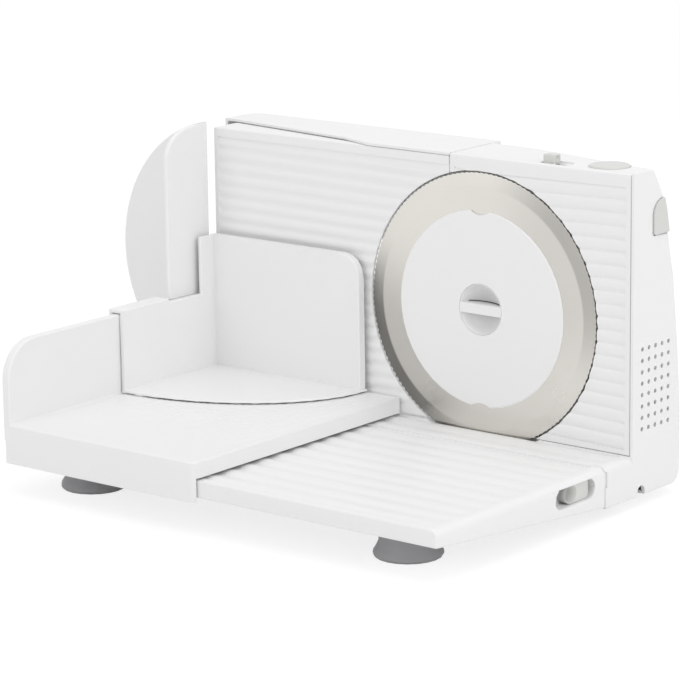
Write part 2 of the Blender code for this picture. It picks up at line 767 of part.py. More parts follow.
def cut_controls(body):
    """Holes for the push button, the slide switch and the side button."""
    top = TOP_HEIGHT + OVERRUN
    under = TOP_HEIGHT - WALL - OVERRUN
    under_button = TOP_HEIGHT - BUTTON_CAP - BUTTON_TRAVEL - GAP
    boolean(body, hole("button_hole", BUTTON_RADIUS + SLIDE_GAP, under_button, top,
                       "Z", (BUTTON_X, BUTTON_Y), ROUND_STEPS))
    boolean(body, prism("switch_track", switch_track_outline(0), "Z", TOP_HEIGHT - SWITCH_TRACK_DEPTH, top))
    slot_half = SWITCH_STEM / 2 + SLIDE_GAP
    boolean(body, block("switch_slot", (SWITCH_X - slot_half, SWITCH_X + SWITCH_TRAVEL + slot_half),
                        (SWITCH_Y - slot_half, SWITCH_Y + slot_half), (under, top)))
    boolean(body, prism("safety_hole", safety_outline(SLIDE_GAP), "X",
                        RIGHT_X - SAFETY_DEPTH - SAFETY_TRAVEL - SLIDE_GAP, RIGHT_X + OVERRUN))


def cut_cord_notch(body):
    """The round-headed outlet at the foot of the side wall."""
    half = CORD_NOTCH_WIDTH / 2
    shoulder = BASE_LIFT + CORD_NOTCH_HEIGHT - half
    outline = [(CORD_NOTCH_Y - half, BASE_LIFT - OVERRUN), (CORD_NOTCH_Y + half, BASE_LIFT - OVERRUN)]
    outline += arc(CORD_NOTCH_Y, shoulder, half, half, 0, math.pi, 2 * CORNER_STEPS)
    boolean(body, prism("cord_notch", outline, "X", RIGHT_X - WALL - OVERRUN, RIGHT_X + OVERRUN))


def cut_seam_slot(body):
    """The short upright slot beside the table's seam."""
    front = HINGE_Y + BASE_TABLE_GAP
    boolean(body, block("seam_slot", (RIGHT_X - WALL / 2, RIGHT_X + OVERRUN),
                        (front - OVERRUN, front + SEAM_SLOT_WIDTH), (SEAM_SLOT_LOW, SEAM_SLOT_HIGH)))


def front_panel():
    """The ribbed face to the right of the gauge plate, with a dished recess round the blade."""
    right = PANEL_RIGHT_X
    low = TABLE_HEIGHT + GAP
    face = -FACE_LEAD
    back = face + PANEL_THICKNESS
    round_top = HOUSING_FRONT_ROUND
    profile = [(face, low), (back, low), (back, TOP_HEIGHT)]
    profile += arc(face + round_top, TOP_HEIGHT - round_top, round_top, round_top,
                   math.pi / 2, math.pi, CORNER_STEPS)
    panel = prism("front_panel", profile, "X", SEAM_X, right)
    shell = rod("recess_shell", rim_radius() + WALL, face + SKIM, RECESS_DEPTH + face,
                "Y", (0, AXIS_HEIGHT), ARC_STEPS * 2)
    keep(shell, block("recess_limit", (SEAM_X, right - SKIM), (face - OVERRUN, RECESS_DEPTH),
                      (low, TOP_HEIGHT - WALL)))
    join(panel, shell)
    boolean(panel, hole("recess_room", rim_radius(), face - OVERRUN, face + RECESS_DEPTH - WALL,
                        "Y", (0, AXIS_HEIGHT), ARC_STEPS * 2))
    boolean(panel, hole("recess_hub_hole", RECESS_HUB_RADIUS, 0, RECESS_DEPTH + OVERRUN,
                        "Y", (0, AXIS_HEIGHT), ROUND_STEPS))
    boolean(panel, rib_comb("panel_ribs", low + FACE_RIB_PITCH * PANEL_RIB_START_SHARE,
                            TOP_HEIGHT - FACE_RIB_PITCH, face, FACE_RIB_PITCH, FACE_RIB_DEPTH,
                            (SEAM_X + FACE_RIB_MARGIN, right - FACE_RIB_MARGIN), "front", 1))
    return finished(panel, "white_abs")


def bottom_cover():
    """The plate that closes the base from below, open at the rear feet and at the cord's outlet."""
    inset = WALL + GAP
    plate = block("bottom_cover", (LEFT_X + inset, RIGHT_X - inset),
                  (HINGE_Y + BASE_TABLE_GAP + EAR_REACH + LUG_WALL + inset, BASE_REAR_Y - inset),
                  (BASE_LIFT, BASE_LIFT + COVER_THICKNESS))
    under = BASE_LIFT - OVERRUN
    over = BASE_LIFT + COVER_THICKNESS + OVERRUN
    for x in (FOOT_LEFT_X, FOOT_RIGHT_X):
        boolean(plate, hole("foot_hole", FOOT_LIP_RADIUS + SLIDE_GAP, under, over,
                            "Z", (x, FOOT_REAR_Y), FOOT_STEPS))
    half = CORD_NOTCH_WIDTH / 2 + GAP
    boolean(plate, block("cover_notch", (RIGHT_X - inset - CORD_NOTCH_WIDTH, RIGHT_X),
                         (CORD_NOTCH_Y - half, CORD_NOTCH_Y + half), (under, over)))
    return finished(plate, "white_abs")


def arm_outline(inset, front_shift):
    """The arm seen from above: its front edge steps back beside the gauge plate's deep left part."""
    right = SEAM_X - GAP + (OVERRUN if inset else 0)
    rear = ARM_REAR_Y - inset
    left = ARM_LEFT_X + inset
    corner = ARM_CORNER - inset
    front_left = GAUGE_LEFT_DEPTH + SLIDE_GAP - FACE_LEAD + front_shift
    front_middle = GAUGE_MIDDLE_DEPTH + SLIDE_GAP - FACE_LEAD + front_shift
    face = -FACE_LEAD + front_shift
    points = [(left, front_left), (GAUGE_LEFT_X, front_left), (GAUGE_MIDDLE_X, front_middle),
              (GAUGE_THIN_X, face), (right, face), (right, rear)]
    return points + arc(left + corner, rear - corner, corner, corner, math.pi / 2, math.pi, CORNER_STEPS)


def rear_arm():
    """The hollow arm that carries the gauge plate: roof, rear wall and left end, open on the other sides."""
    low = TOP_HEIGHT - ARM_DROP
    arm = prism("rear_arm", arm_outline(0, 0), "Z", low, TOP_HEIGHT)
    room = prism("arm_room", arm_outline(WALL, -ARM_DROP), "Z", low - OVERRUN, TOP_HEIGHT - ARM_ROOF)
    boolean(arm, room)
    for x, z in rod_places():
        start = ARM_REAR_Y - WALL - ARM_BOSS_LENGTH
        outer = GAUGE_ROD_RADIUS + SLIDE_GAP + ARM_BOSS_WALL
        join(arm, rod("arm_boss", outer, start, ARM_REAR_Y - WALL / 2, "Y", (x, z)))
        boolean(arm, hole("arm_bore", GAUGE_ROD_RADIUS + SLIDE_GAP, start - OVERRUN, ARM_REAR_Y - WALL,
                          "Y", (x, z)))
    boolean(arm, hole("knob_hole", KNOB_SHAFT_RADIUS + GAP, ARM_REAR_Y - WALL - OVERRUN,
                      ARM_REAR_Y + OVERRUN, "Y", (knob_x(), KNOB_HEIGHT)))
    return finished(arm, "white_abs")


def gauge_outline(inset):
    """The gauge plate seen from the front: a rectangle with the blade's circle cut from it.

    The circle leaves the rectangle through its lower and upper edges or through its right edge, whichever it
    meets first.
    """
    radius = gauge_rim_radius() + inset
    left = GAUGE_LEFT_X + inset
    right = SEAM_X - BASE_TABLE_GAP - inset
    low = TABLE_HEIGHT + TRAY_LIFT + inset
    high = gauge_top() - inset
    reach = math.sqrt(radius ** 2 - right ** 2)
    below = []
    above = []
    if AXIS_HEIGHT - low > reach:
        below.append((right, low))
        start = 2 * math.pi - math.acos(right / radius)
    else:
        start = math.pi + math.asin((AXIS_HEIGHT - low) / radius)
    if high - AXIS_HEIGHT > reach:
        above.append((right, high))
        stop = math.acos(right / radius)
    else:
        stop = math.pi - math.asin((high - AXIS_HEIGHT) / radius)
    points = arc(0, AXIS_HEIGHT, radius, radius, start, stop, ARC_STEPS)
    return [(left, low)] + below + points + above + [(left, high)]


def gauge_plate():
    """The ribbed plate that sets the slice thickness, deep at its left end and open behind."""
    face = -FACE_LEAD
    deep = face + GAUGE_LEFT_DEPTH
    plate = prism("gauge_plate", gauge_outline(0), "Y", face, deep)
    wedge = [(GAUGE_LEFT_X - OVERRUN, face - OVERRUN), (SEAM_X, face - OVERRUN), (SEAM_X, face + GAUGE_PLATE),
             (GAUGE_THIN_X, face + GAUGE_PLATE), (GAUGE_MIDDLE_X, face + GAUGE_MIDDLE_DEPTH),
             (GAUGE_LEFT_X, deep), (GAUGE_LEFT_X - OVERRUN, deep)]
    keep(plate, prism("gauge_wedge", wedge, "Z", 0, TOP_HEIGHT + OVERRUN))
    boolean(plate, prism("gauge_room", gauge_outline(GAUGE_WALL), "Y", face + GAUGE_PLATE, deep + OVERRUN))
    for x, z in rod_places():
        outer = GAUGE_ROD_RADIUS + GAP + GAUGE_BOSS_WALL
        start = face + GAUGE_PLATE - SKIM
        join(plate, rod("rod_boss", outer, start, start + GAUGE_BOSS_LENGTH, "Y", (x, z)))
        boolean(plate, hole("rod_socket", GAUGE_ROD_RADIUS + GAP, face + GAUGE_PLATE,
                            start + GAUGE_BOSS_LENGTH + OVERRUN, "Y", (x, z)))
    tip = cam_top_y() - FOLLOWER_CLEARANCE
    join(plate, rod("follower", FOLLOWER_RADIUS, face + GAUGE_PLATE - SKIM, tip,
                    "Y", follower_place(), SMALL_STEPS // 2))
    boolean(plate, rib_comb("gauge_ribs", TABLE_HEIGHT + FACE_RIB_PITCH * GAUGE_RIB_START_SHARE,
                            gauge_top() - FACE_RIB_PITCH * GAUGE_RIB_END_SHARE, face,
                            FACE_RIB_PITCH, FACE_RIB_DEPTH,
                            (GAUGE_LEFT_X + FACE_RIB_MARGIN, SEAM_X + OVERRUN), "front", 1))
    return finished(plate, "white_abs")


def gauge_rods():
    """Two steel rods that guide the gauge plate in the arm."""
    start = -FACE_LEAD + GAUGE_PLATE + GAP
    for number, (x, z) in enumerate(rod_places()):
        guide = rod(("gauge_rod_left", "gauge_rod_right")[number], GAUGE_ROD_RADIUS, start, GAUGE_ROD_END_Y,
                  "Y", (x, z))
        finished(guide, "bright_steel", (x, 0, z))


def cam_top_y():
    """Y of the ramp's highest part, which faces the gauge plate."""
    return ARM_REAR_Y - WALL - GAP - CAM_BASE - GAUGE_TRAVEL


def follower_place():
    """The follower stands to the right of the knob's axis, on the ramp's middle radius."""
    return (knob_x() + (CAM_INNER_RADIUS + CAM_OUTER_RADIUS) / 2, KNOB_HEIGHT)


def cam_height(angle):
    """Height of the ramp at an angle from the follower, in the sense that the knob uncovers it."""
    if angle >= 2 * math.pi - CAM_LEAD_IN:
        return GAUGE_TRAVEL
    return GAUGE_TRAVEL * max(0, 1 - angle / KNOB_TURN)


def gauge_cam():
    """A ring whose face climbs by the gauge plate's travel over the knob's turn."""
    work = bmesh.new()
    rear = ARM_REAR_Y - WALL - GAP
    columns = []
    for step in range(CAM_STEPS):
        angle = 2 * math.pi * step / CAM_STEPS
        front = rear - CAM_BASE - cam_height(angle)
        column = []
        for radius, y in ((CAM_INNER_RADIUS, rear), (CAM_OUTER_RADIUS, rear),
                          (CAM_OUTER_RADIUS, front), (CAM_INNER_RADIUS, front)):
            x = knob_x() + radius * math.cos(angle)
            z = KNOB_HEIGHT + radius * math.sin(angle)
            column.append(work.verts.new((x, y, z)))
        columns.append(column)
    for first, second in zip(columns, columns[1:] + columns[:1]):
        bridge_rings(work, first, second)
    cam = as_object("gauge_cam", work)
    join(cam, rod("cam_web", CAM_INNER_RADIUS + SKIM, rear - CAM_BASE, rear,
                  "Y", (knob_x(), KNOB_HEIGHT)))
    boolean(cam, hole("cam_bore", KNOB_SHAFT_RADIUS + GAP, rear - CAM_BASE - OVERRUN, rear + OVERRUN,
                      "Y", (knob_x(), KNOB_HEIGHT)))
    return finished(cam, "gear_nylon", (knob_x(), 0, KNOB_HEIGHT))


def thickness_knob():
    """The fluted knob behind the arm, with its shaft through the rear wall to the cam."""
    start = ARM_REAR_Y + GAP
    stop = start + KNOB_LENGTH
    profile = [(KNOB_RADIUS, start), (KNOB_RADIUS, stop - KNOB_ROUND), (KNOB_RADIUS - KNOB_ROUND, stop)]
    centre = (knob_x(), KNOB_HEIGHT)
    knob = turned("thickness_knob", profile, "Y", centre, ROUND_STEPS)
    shaft_start = ARM_REAR_Y - WALL - GAP - CAM_BASE
    join(knob, rod("knob_shaft", KNOB_SHAFT_RADIUS, shaft_start, start + OVERRUN, "Y", centre))
    for number in range(KNOB_FLUTES):
        angle = 2 * math.pi * number / KNOB_FLUTES
        reach = KNOB_RADIUS + KNOB_FLUTE_DEPTH
        place = (centre[0] + reach * math.cos(angle), centre[1] + reach * math.sin(angle))
        boolean(knob, hole("knob_flute", 2 * KNOB_FLUTE_DEPTH, start + WALL, stop + OVERRUN,
                           "Y", place, SMALL_STEPS // 2))
    return finished(knob, "pale_grey", (centre[0], 0, centre[1]))


def blade_profile():
    """Front and back of the blade inside its toothed edge, as (radius, y) pairs."""
    band_outer = BLADE_RADIUS - BLADE_BEVEL
    band_inner = band_outer - BLADE_BAND
    dish = band_inner - BLADE_DISH_RUN
    front = [(band_outer, -BLADE_CROWN), (band_inner, -BLADE_CROWN), (dish, BLADE_DISH - BLADE_CROWN),
             (BLADE_BORE, BLADE_DISH - BLADE_CROWN)]
    back = [(radius, y + BLADE_THICKNESS) for radius, y in reversed(front)]
    return front, back


def blade():
    """The serrated disc: a toothed edge, a ground bevel, a flat band and a dished middle."""
    work = bmesh.new()
    per_step = 2 * BLADE_TEETH // BLADE_STEPS
    edge = []
    for number in range(2 * BLADE_TEETH):
        angle = 2 * math.pi * number / (2 * BLADE_TEETH)
        radius = BLADE_RADIUS - (TOOTH_DEPTH if number % 2 else 0)
        edge.append(work.verts.new((radius * math.cos(angle), 0, AXIS_HEIGHT + radius * math.sin(angle))))
    front, back = blade_profile()
    rings = [round_ring(work, radius, y) for radius, y in front + back]
    for first, second in zip(rings, rings[1:]):
        bridge_rings(work, first, second)
    for ring in (rings[0], rings[-1]):
        fan_to_edge(work, ring, edge, per_step)
    disc = as_object("blade", work)
    return finished(disc, "blade_steel", (0, 0, AXIS_HEIGHT), 12)


def round_ring(work, radius, y):
    points = []
    for step in range(BLADE_STEPS):
        angle = 2 * math.pi * step / BLADE_STEPS
        points.append(work.verts.new((radius * math.cos(angle), y, AXIS_HEIGHT + radius * math.sin(angle))))
    return points


def fan_to_edge(work, ring, edge, per_step):
    """Faces from a plain ring out to the toothed edge, which has more points."""
    for step, inner in enumerate(ring):
        following = ring[(step + 1) % len(ring)]
        first = step * per_step
        middle = first + per_step // 2
        for number in range(per_step):
            base = inner if first + number < middle else following
            outer = edge[first + number]
            beyond = edge[(first + number + 1) % len(edge)]
            work.faces.new((base, outer, beyond))
        work.faces.new((inner, edge[middle], following))


def hub_cover():
    """The white disc that covers the blade's middle, with two finger notches and a long sleeve."""
    front = -HUB_LEAD
    back = front + HUB_THICKNESS
    sleeve_end = back + HUB_SLEEVE_LENGTH
    bore = LOCK_RADIUS + SLIDE_GAP
    profile = [(bore, front), (HUB_RADIUS - HUB_ROUND, front), (HUB_RADIUS, front + HUB_ROUND),
               (HUB_RADIUS, back), (HUB_SLEEVE_RADIUS, back), (HUB_SLEEVE_RADIUS, sleeve_end),
               (bore, sleeve_end)]
    cover = turned("hub_cover", profile, "Y", (0, AXIS_HEIGHT), BLADE_STEPS, closed=True)
    for side in (1, -1):
        reach = HUB_RADIUS - HUB_NOTCH_DEPTH + HUB_NOTCH_RADIUS
        boolean(cover, hole("hub_notch", HUB_NOTCH_RADIUS, front - OVERRUN, back + OVERRUN,
                            "Y", (0, AXIS_HEIGHT + side * reach), ROUND_STEPS))
    return finished(cover, "white_gloss", (0, 0, AXIS_HEIGHT))


def dish_arc(radius, depth, face, steps):
    """Points of a shallow bowl from its rim to its middle."""
    angles = [math.pi / 2 * step / steps for step in range(steps)]
    points = [(radius * math.cos(angle), face + depth * math.sin(angle)) for angle in angles]
    return points + [(0, face + depth)]


def lock_knob():
    """The bayonet knob: a bowl with a grip bar across it, which locks the blade on its shaft."""
    face = -HUB_LEAD
    bottom = face + LOCK_DISH + LOCK_WALL
    bowl = dish_arc(LOCK_RADIUS - LOCK_WALL, LOCK_DISH, face, 6)
    profile = list(reversed(bowl)) + [(LOCK_RADIUS, face), (LOCK_RADIUS, bottom)]
    knob = turned("lock_knob", profile, "Y", (0, AXIS_HEIGHT), ROUND_STEPS)
    half = LOCK_BAR / 2
    reach = LOCK_RADIUS - LOCK_WALL / 2
    bar_outline = [(face, AXIS_HEIGHT - half), (bottom - LOCK_WALL / 2, AXIS_HEIGHT - half - LOCK_BAR_TAPER),
                   (bottom - LOCK_WALL / 2, AXIS_HEIGHT + half + LOCK_BAR_TAPER), (face, AXIS_HEIGHT + half)]
    bar = prism("grip_bar", bar_outline, "X", -reach, reach)
    keep(bar, rod("bar_limit", LOCK_RADIUS - SKIM, face - OVERRUN, bottom,
                  "Y", (0, AXIS_HEIGHT), ROUND_STEPS))
    join(knob, bar)
    return finished(knob, "white_gloss", (0, 0, AXIS_HEIGHT))


def lock_bottom_y():
    return -HUB_LEAD + LOCK_DISH + LOCK_WALL


def blade_shaft():
    start = lock_bottom_y() + GAP
    shaft = rod("blade_shaft", SHAFT_RADIUS, start, BASE_REAR_Y - WALL - GAP, "Y", (0, AXIS_HEIGHT))
    flange_start = -HUB_LEAD + HUB_THICKNESS + HUB_SLEEVE_LENGTH + GAP
    join(shaft, rod("drive_flange", HUB_SLEEVE_RADIUS - WALL, flange_start, DRUM_FRONT_Y - GAP,
                    "Y", (0, AXIS_HEIGHT), ROUND_STEPS))
    return finished(shaft, "bright_steel", (0, 0, AXIS_HEIGHT))


def shaft_bushes():
    """Brass bushes in the drum's front wall and in the rear boss."""
    front_start = DRUM_FRONT_Y
    rear_stop = BASE_REAR_Y - WALL - GAP
    for name, start in (("front_bush", front_start), ("rear_bush", rear_stop - BUSH_LENGTH)):
        profile = tube_profile(SHAFT_RADIUS + GAP, BUSH_RADIUS, start, start + BUSH_LENGTH)
        finished(turned(name, profile, "Y", (0, AXIS_HEIGHT), SMALL_STEPS, closed=True), "bush_brass")


def wheel_pitch_radius():
    return WHEEL_TEETH * WORM_PITCH / (2 * math.pi)


def worm_height():
    """Height of the worm's axis below the wheel."""
    return AXIS_HEIGHT - wheel_pitch_radius() - WORM_RADIUS


def worm_wheel():
    """The nylon wheel on the blade's shaft, with straight-sided teeth."""
    pitch = wheel_pitch_radius()
    outline = []
    for tooth in range(WHEEL_TEETH):
        middle = 2 * math.pi * tooth / WHEEL_TEETH - math.pi / 2
        for radius, share in ((pitch - TOOTH_ROOT, -0.3), (pitch + TOOTH_REACH, -TOOTH_HALF_SHARE),
                              (pitch + TOOTH_REACH, TOOTH_HALF_SHARE), (pitch - TOOTH_ROOT, 0.3)):
            angle = middle + 2 * math.pi * share / WHEEL_TEETH
            outline.append((radius * math.cos(angle), AXIS_HEIGHT + radius * math.sin(angle)))
    wheel = prism("worm_wheel", outline, "Y", DRIVE_Y - WHEEL_WIDTH / 2, DRIVE_Y + WHEEL_WIDTH / 2)
    boolean(wheel, hole("wheel_bore", SHAFT_RADIUS + GAP, DRIVE_Y - WHEEL_WIDTH, DRIVE_Y + WHEEL_WIDTH,
                        "Y", (0, AXIS_HEIGHT)))
    return finished(wheel, "gear_nylon", (0, 0, AXIS_HEIGHT))


def worm_core_radius():
    return WORM_RADIUS - TOOTH_REACH - TOOTH_ROOT / 2


def worm_thread():
    """A helical ridge round the motor's shaft, one tooth of the wheel for each turn."""
    work = bmesh.new()
    core = worm_core_radius() - TOOTH_REACH
    crest = WORM_RADIUS + TOOTH_REACH / 2
    turns = int(2 * WORM_HALF_LENGTH / WORM_PITCH) - 1
    steps = turns * WORM_TURN_STEPS
    start = -turns * WORM_PITCH / 2
    rings = []
    for step in range(steps + 1):
        angle = 2 * math.pi * step / WORM_TURN_STEPS
        along = start + WORM_PITCH * step / WORM_TURN_STEPS
        ring = []
        for radius, share in zip((core, crest, crest, core), THREAD_FLANK_SHARES):
            y = DRIVE_Y + radius * math.sin(angle)
            z = worm_height() + radius * math.cos(angle)
            ring.append(work.verts.new((along + WORM_PITCH * share, y, z)))
        rings.append(ring)
    for first, second in zip(rings, rings[1:]):
        bridge_rings(work, first, second)
    work.faces.new(rings[0])
    work.faces.new(rings[-1])
    return as_object("worm_thread", work)


def motor_worm():
    """The motor's shaft with the worm on its end."""
    centre = (DRIVE_Y, worm_height())
    core = worm_core_radius()
    profile = [(core, -WORM_HALF_LENGTH), (core, WORM_HALF_LENGTH), (MOTOR_SHAFT_RADIUS, WORM_HALF_LENGTH),
               (MOTOR_SHAFT_RADIUS, MOTOR_LEFT_X - GAP)]
    worm = turned("motor_worm", profile, "X", centre)
    join(worm, worm_thread())
    return finished(worm, "bright_steel", (0, centre[0], centre[1]))


def drive_motor():
    centre = (DRIVE_Y, worm_height())
    stop = MOTOR_LEFT_X + MOTOR_LENGTH
    profile = [(MOTOR_RADIUS - WALL, MOTOR_LEFT_X), (MOTOR_RADIUS, MOTOR_LEFT_X + WALL),
               (MOTOR_RADIUS, stop - WALL), (MOTOR_RADIUS - WALL, stop)]
    return finished(turned("drive_motor", profile, "X", centre, ROUND_STEPS), "motor_steel")


def motor_bracket():
    """The plate that holds the motor's front end, seated against the housing's rear wall."""
    middle = worm_height()
    right = MOTOR_LEFT_X - GAP
    plate = block("motor_bracket", (right - BRACKET_THICKNESS, right),
                  (DRUM_FRONT_Y + WALL + GAP, BASE_REAR_Y - WALL + GAP),
                  (TABLE_HEIGHT + BRACKET_FOOT, middle + BRACKET_RISE))
    boolean(plate, hole("bracket_hole", MOTOR_SHAFT_RADIUS + SLIDE_GAP, right - BRACKET_THICKNESS - OVERRUN,
                        right + OVERRUN, "X", (DRIVE_Y, middle)))
    keep(plate, housing_inside("bracket_limit", GAP / 2))
    return finished(plate, "bright_steel")


def table_underside(y):
    """Height of the wedge's underside, thin at the front and deep at the hinge."""
    front_height = TABLE_HEIGHT - TABLE_FRONT_EDGE
    share = (y - TABLE_FRONT_Y) / (HINGE_Y - TABLE_FRONT_Y)
    return front_height + (TABLE_REAR_LIFT - front_height) * share


def table_side(inset, top):
    """The wedge seen from the side."""
    front = TABLE_FRONT_Y + inset
    rear = HINGE_Y - inset
    drop = OVERRUN if inset else 0
    low_front = table_underside(front) - drop
    low_rear = table_underside(rear) - drop
    return [(front, low_front), (rear, low_rear), (rear, top), (front, top)]


def folding_table():
    """The wedge table: ribbed top, thin walls, foot bosses, hinge ears and the lock's pocket."""
    table = prism("folding_table", deck_outline(0), "Y", TABLE_FRONT_Y, HINGE_Y)
    wedge = table_side(0, TABLE_HEIGHT + OVERRUN)
    keep(table, prism("table_wedge", wedge, "X", LEFT_X - OVERRUN, RIGHT_X + OVERRUN))
    room = table_side(TABLE_WALL, TABLE_HEIGHT - BASE_SKIN)
    boolean(table, prism("table_room", room, "X", LEFT_X + TABLE_WALL, RIGHT_X - TABLE_WALL))
    for x in (FOOT_LEFT_X, FOOT_RIGHT_X):
        seat_foot(table, x, FOOT_FRONT_Y, TABLE_HEIGHT - BASE_SKIN)
    join(table, block("lock_case", (RIGHT_X - LOCK_POCKET_DEPTH - WALL, RIGHT_X - SKIM),
                      (LOCK_POCKET_FRONT_Y - WALL, LOCK_POCKET_REAR_Y + WALL),
                      (LOCK_POCKET_LOW - WALL, TABLE_HEIGHT - BASE_SKIN + SKIM)))
    boolean(table, lock_pocket())
    pin_y, pin_z = pin_place()
    for middle in ear_places():
        half = EAR_WIDTH / 2
        join(table, block("ear", (middle - half, middle + half),
                          (HINGE_Y - TABLE_WALL / 2, HINGE_Y + BASE_TABLE_GAP + EAR_REACH - GAP),
                          (EAR_LOW, EAR_HIGH)))
        boolean(table, hole("ear_bore", PIN_RADIUS + GAP, middle - EAR_WIDTH, middle + EAR_WIDTH,
                            "X", (pin_y, pin_z)))
    first = TABLE_RIB_REAR_Y - TABLE_RIB_COUNT * TABLE_RIB_PITCH
    boolean(table, rib_comb("table_ribs", first, TABLE_RIB_REAR_Y, TABLE_HEIGHT,
                            TABLE_RIB_PITCH, TABLE_RIB_DEPTH,
                            (LEFT_X - OVERRUN, RIGHT_X - TABLE_RIB_MARGIN), "top", -1))
    return finished(table, "white_abs")


def lock_pocket():
    """The oblong recess in the table's side."""
    radius = (LOCK_POCKET_HIGH - LOCK_POCKET_LOW) / 2
    rear_round = radius * LOCK_POCKET_REAR_ROUND_SHARE
    outline = rounded_rectangle(LOCK_POCKET_FRONT_Y, LOCK_POCKET_REAR_Y, LOCK_POCKET_LOW, LOCK_POCKET_HIGH,
                                (radius, rear_round, rear_round, radius))
    return prism("lock_pocket", outline, "X", RIGHT_X - LOCK_POCKET_DEPTH, RIGHT_X + OVERRUN)


def table_lock():
    """The grey slider in the pocket, with a round thumb dimple in its front half."""
    rear = LOCK_POCKET_REAR_Y - LOCK_SLIDER_REAR_GAP
    front = rear - LOCK_SLIDER_LENGTH
    low = LOCK_POCKET_LOW + GAP
    high = LOCK_POCKET_HIGH - GAP
    radius = (high - low) / 2
    nose = radius * LOCK_SLIDER_ROUND_SHARE
    outline = rounded_rectangle(front, rear, low, high, (nose, WALL, WALL, nose))
    face = RIGHT_X - LOCK_SLIDER_SINK
    slider = prism("table_lock", outline, "X", RIGHT_X - LOCK_POCKET_DEPTH + GAP, face)
    sphere_radius = (radius ** 2 + LOCK_DIMPLE_DEPTH ** 2) / (2 * LOCK_DIMPLE_DEPTH)
    centre_x = face + sphere_radius - LOCK_DIMPLE_DEPTH
    profile = []
    for step in range(1, ROUND_STEPS):
        angle = math.pi * step / ROUND_STEPS
        profile.append((sphere_radius * math.sin(angle), centre_x - sphere_radius * math.cos(angle)))
    boolean(slider, turned("thumb_dimple", profile, "X", (front + radius, (low + high) / 2), ROUND_STEPS))
    return finished(slider, "pale_grey", (RIGHT_X, (front + rear) / 2, (low + high) / 2))


def hinge_pins():
    pin_y, pin_z = pin_place()
    for name, middle in zip(("hinge_pin_left", "hinge_pin_right"), ear_places()):
        half = EAR_WIDTH / 2 + LUG_WALL - WALL - GAP
        pin = rod(name, PIN_RADIUS, middle - half, middle + half, "X", (pin_y, pin_z))
        finished(pin, "bright_steel", (middle, pin_y, pin_z))


def foot_profile():
    """Half section of a suction foot, from the cup's roof round the lip to the stem."""
    points = [(FOOT_LIP_RADIUS * FOOT_CUP_SHARE, FOOT_HEIGHT * FOOT_CUP_SHARE)]
    points += [(FOOT_LIP_RADIUS * across, FOOT_HEIGHT * up) for across, up in FOOT_PROFILE_SHARES]
    points += [(FOOT_NECK_RADIUS, FOOT_HEIGHT), (FOOT_STEM_RADIUS, FOOT_HEIGHT)]
    return points + [(FOOT_STEM_RADIUS, FOOT_HEIGHT + FOOT_STEM_LENGTH)]


def suction_feet():
    places = {
        "foot_front_left": (FOOT_LEFT_X, FOOT_FRONT_Y),
        "foot_front_right": (FOOT_RIGHT_X, FOOT_FRONT_Y),
        "foot_rear_left": (FOOT_LEFT_X, FOOT_REAR_Y),
        "foot_rear_right": (FOOT_RIGHT_X, FOOT_REAR_Y),
    }
    for name, (x, y) in places.items():
        finished(turned(name, foot_profile(), "Z", (x, y), FOOT_STEPS), "dark_rubber", (x, y, 0), 60)


def tray_low():
    return TABLE_HEIGHT + TRAY_LIFT


def tray_top():
    return tray_low() + TRAY_HEIGHT


def tray_rear_y():
    return -FACE_LEAD - TRAY_REAR_GAP


def fence_rear_y():
    return GUARD_REAR_Y - GUARD_PLATE - GAP


def carriage_tray():
    """The sliding tray with its front skirt and the fence on its left, open below."""
    left = FENCE_INNER_X - FENCE_THICKNESS
    front = skirt_front_y()
    outline = rounded_rectangle(left, TRAY_RIGHT_X, front, tray_rear_y(), (WALL, TRAY_CORNER, GAP, GAP))
    tray = prism("carriage_tray", outline, "Z", tray_low(), tray_top())
    skirt = rounded_rectangle(left, TRAY_RIGHT_X, front, front + 2 * TRAY_CORNER, (WALL, TRAY_CORNER, 0, 0))
    apron = prism("skirt", skirt, "Z", tray_top() - SKIRT_DROP, tray_top() - SKIM)
    keep(apron, block("skirt_limit", (left - OVERRUN, TRAY_RIGHT_X + OVERRUN),
                      (front - OVERRUN, front + SKIRT_THICKNESS), (0, TOP_HEIGHT)))
    join(tray, apron)
    boolean(tray, block("tray_room", (left + WALL, TRAY_RIGHT_X - WALL),
                        (front + WALL + SKIM, tray_rear_y() - WALL),
                        (tray_low() - OVERRUN, tray_top() - WALL)))
    for runner_front in (TABLE_FRONT_Y + RUNNER_INSET, tray_rear_y() - RUNNER_INSET):
        join(tray, block("runner", (left + WALL + SKIM, TRAY_RIGHT_X - WALL - SKIM),
                         (runner_front, runner_front + RUNNER_WIDTH),
                         (TABLE_HEIGHT - SKIM + GAP, tray_top() - WALL / 2)))
    corner = FENCE_CORNER
    side = [(front, tray_low() + SKIM), (fence_rear_y(), tray_low() + SKIM), (fence_rear_y(), FENCE_HEIGHT)]
    side += arc(front + corner, FENCE_HEIGHT - corner, corner, corner, math.pi / 2, math.pi, 2 * CORNER_STEPS)
    join(tray, prism("fence", side, "X", left, FENCE_INNER_X))
    return finished(tray, "white_abs")


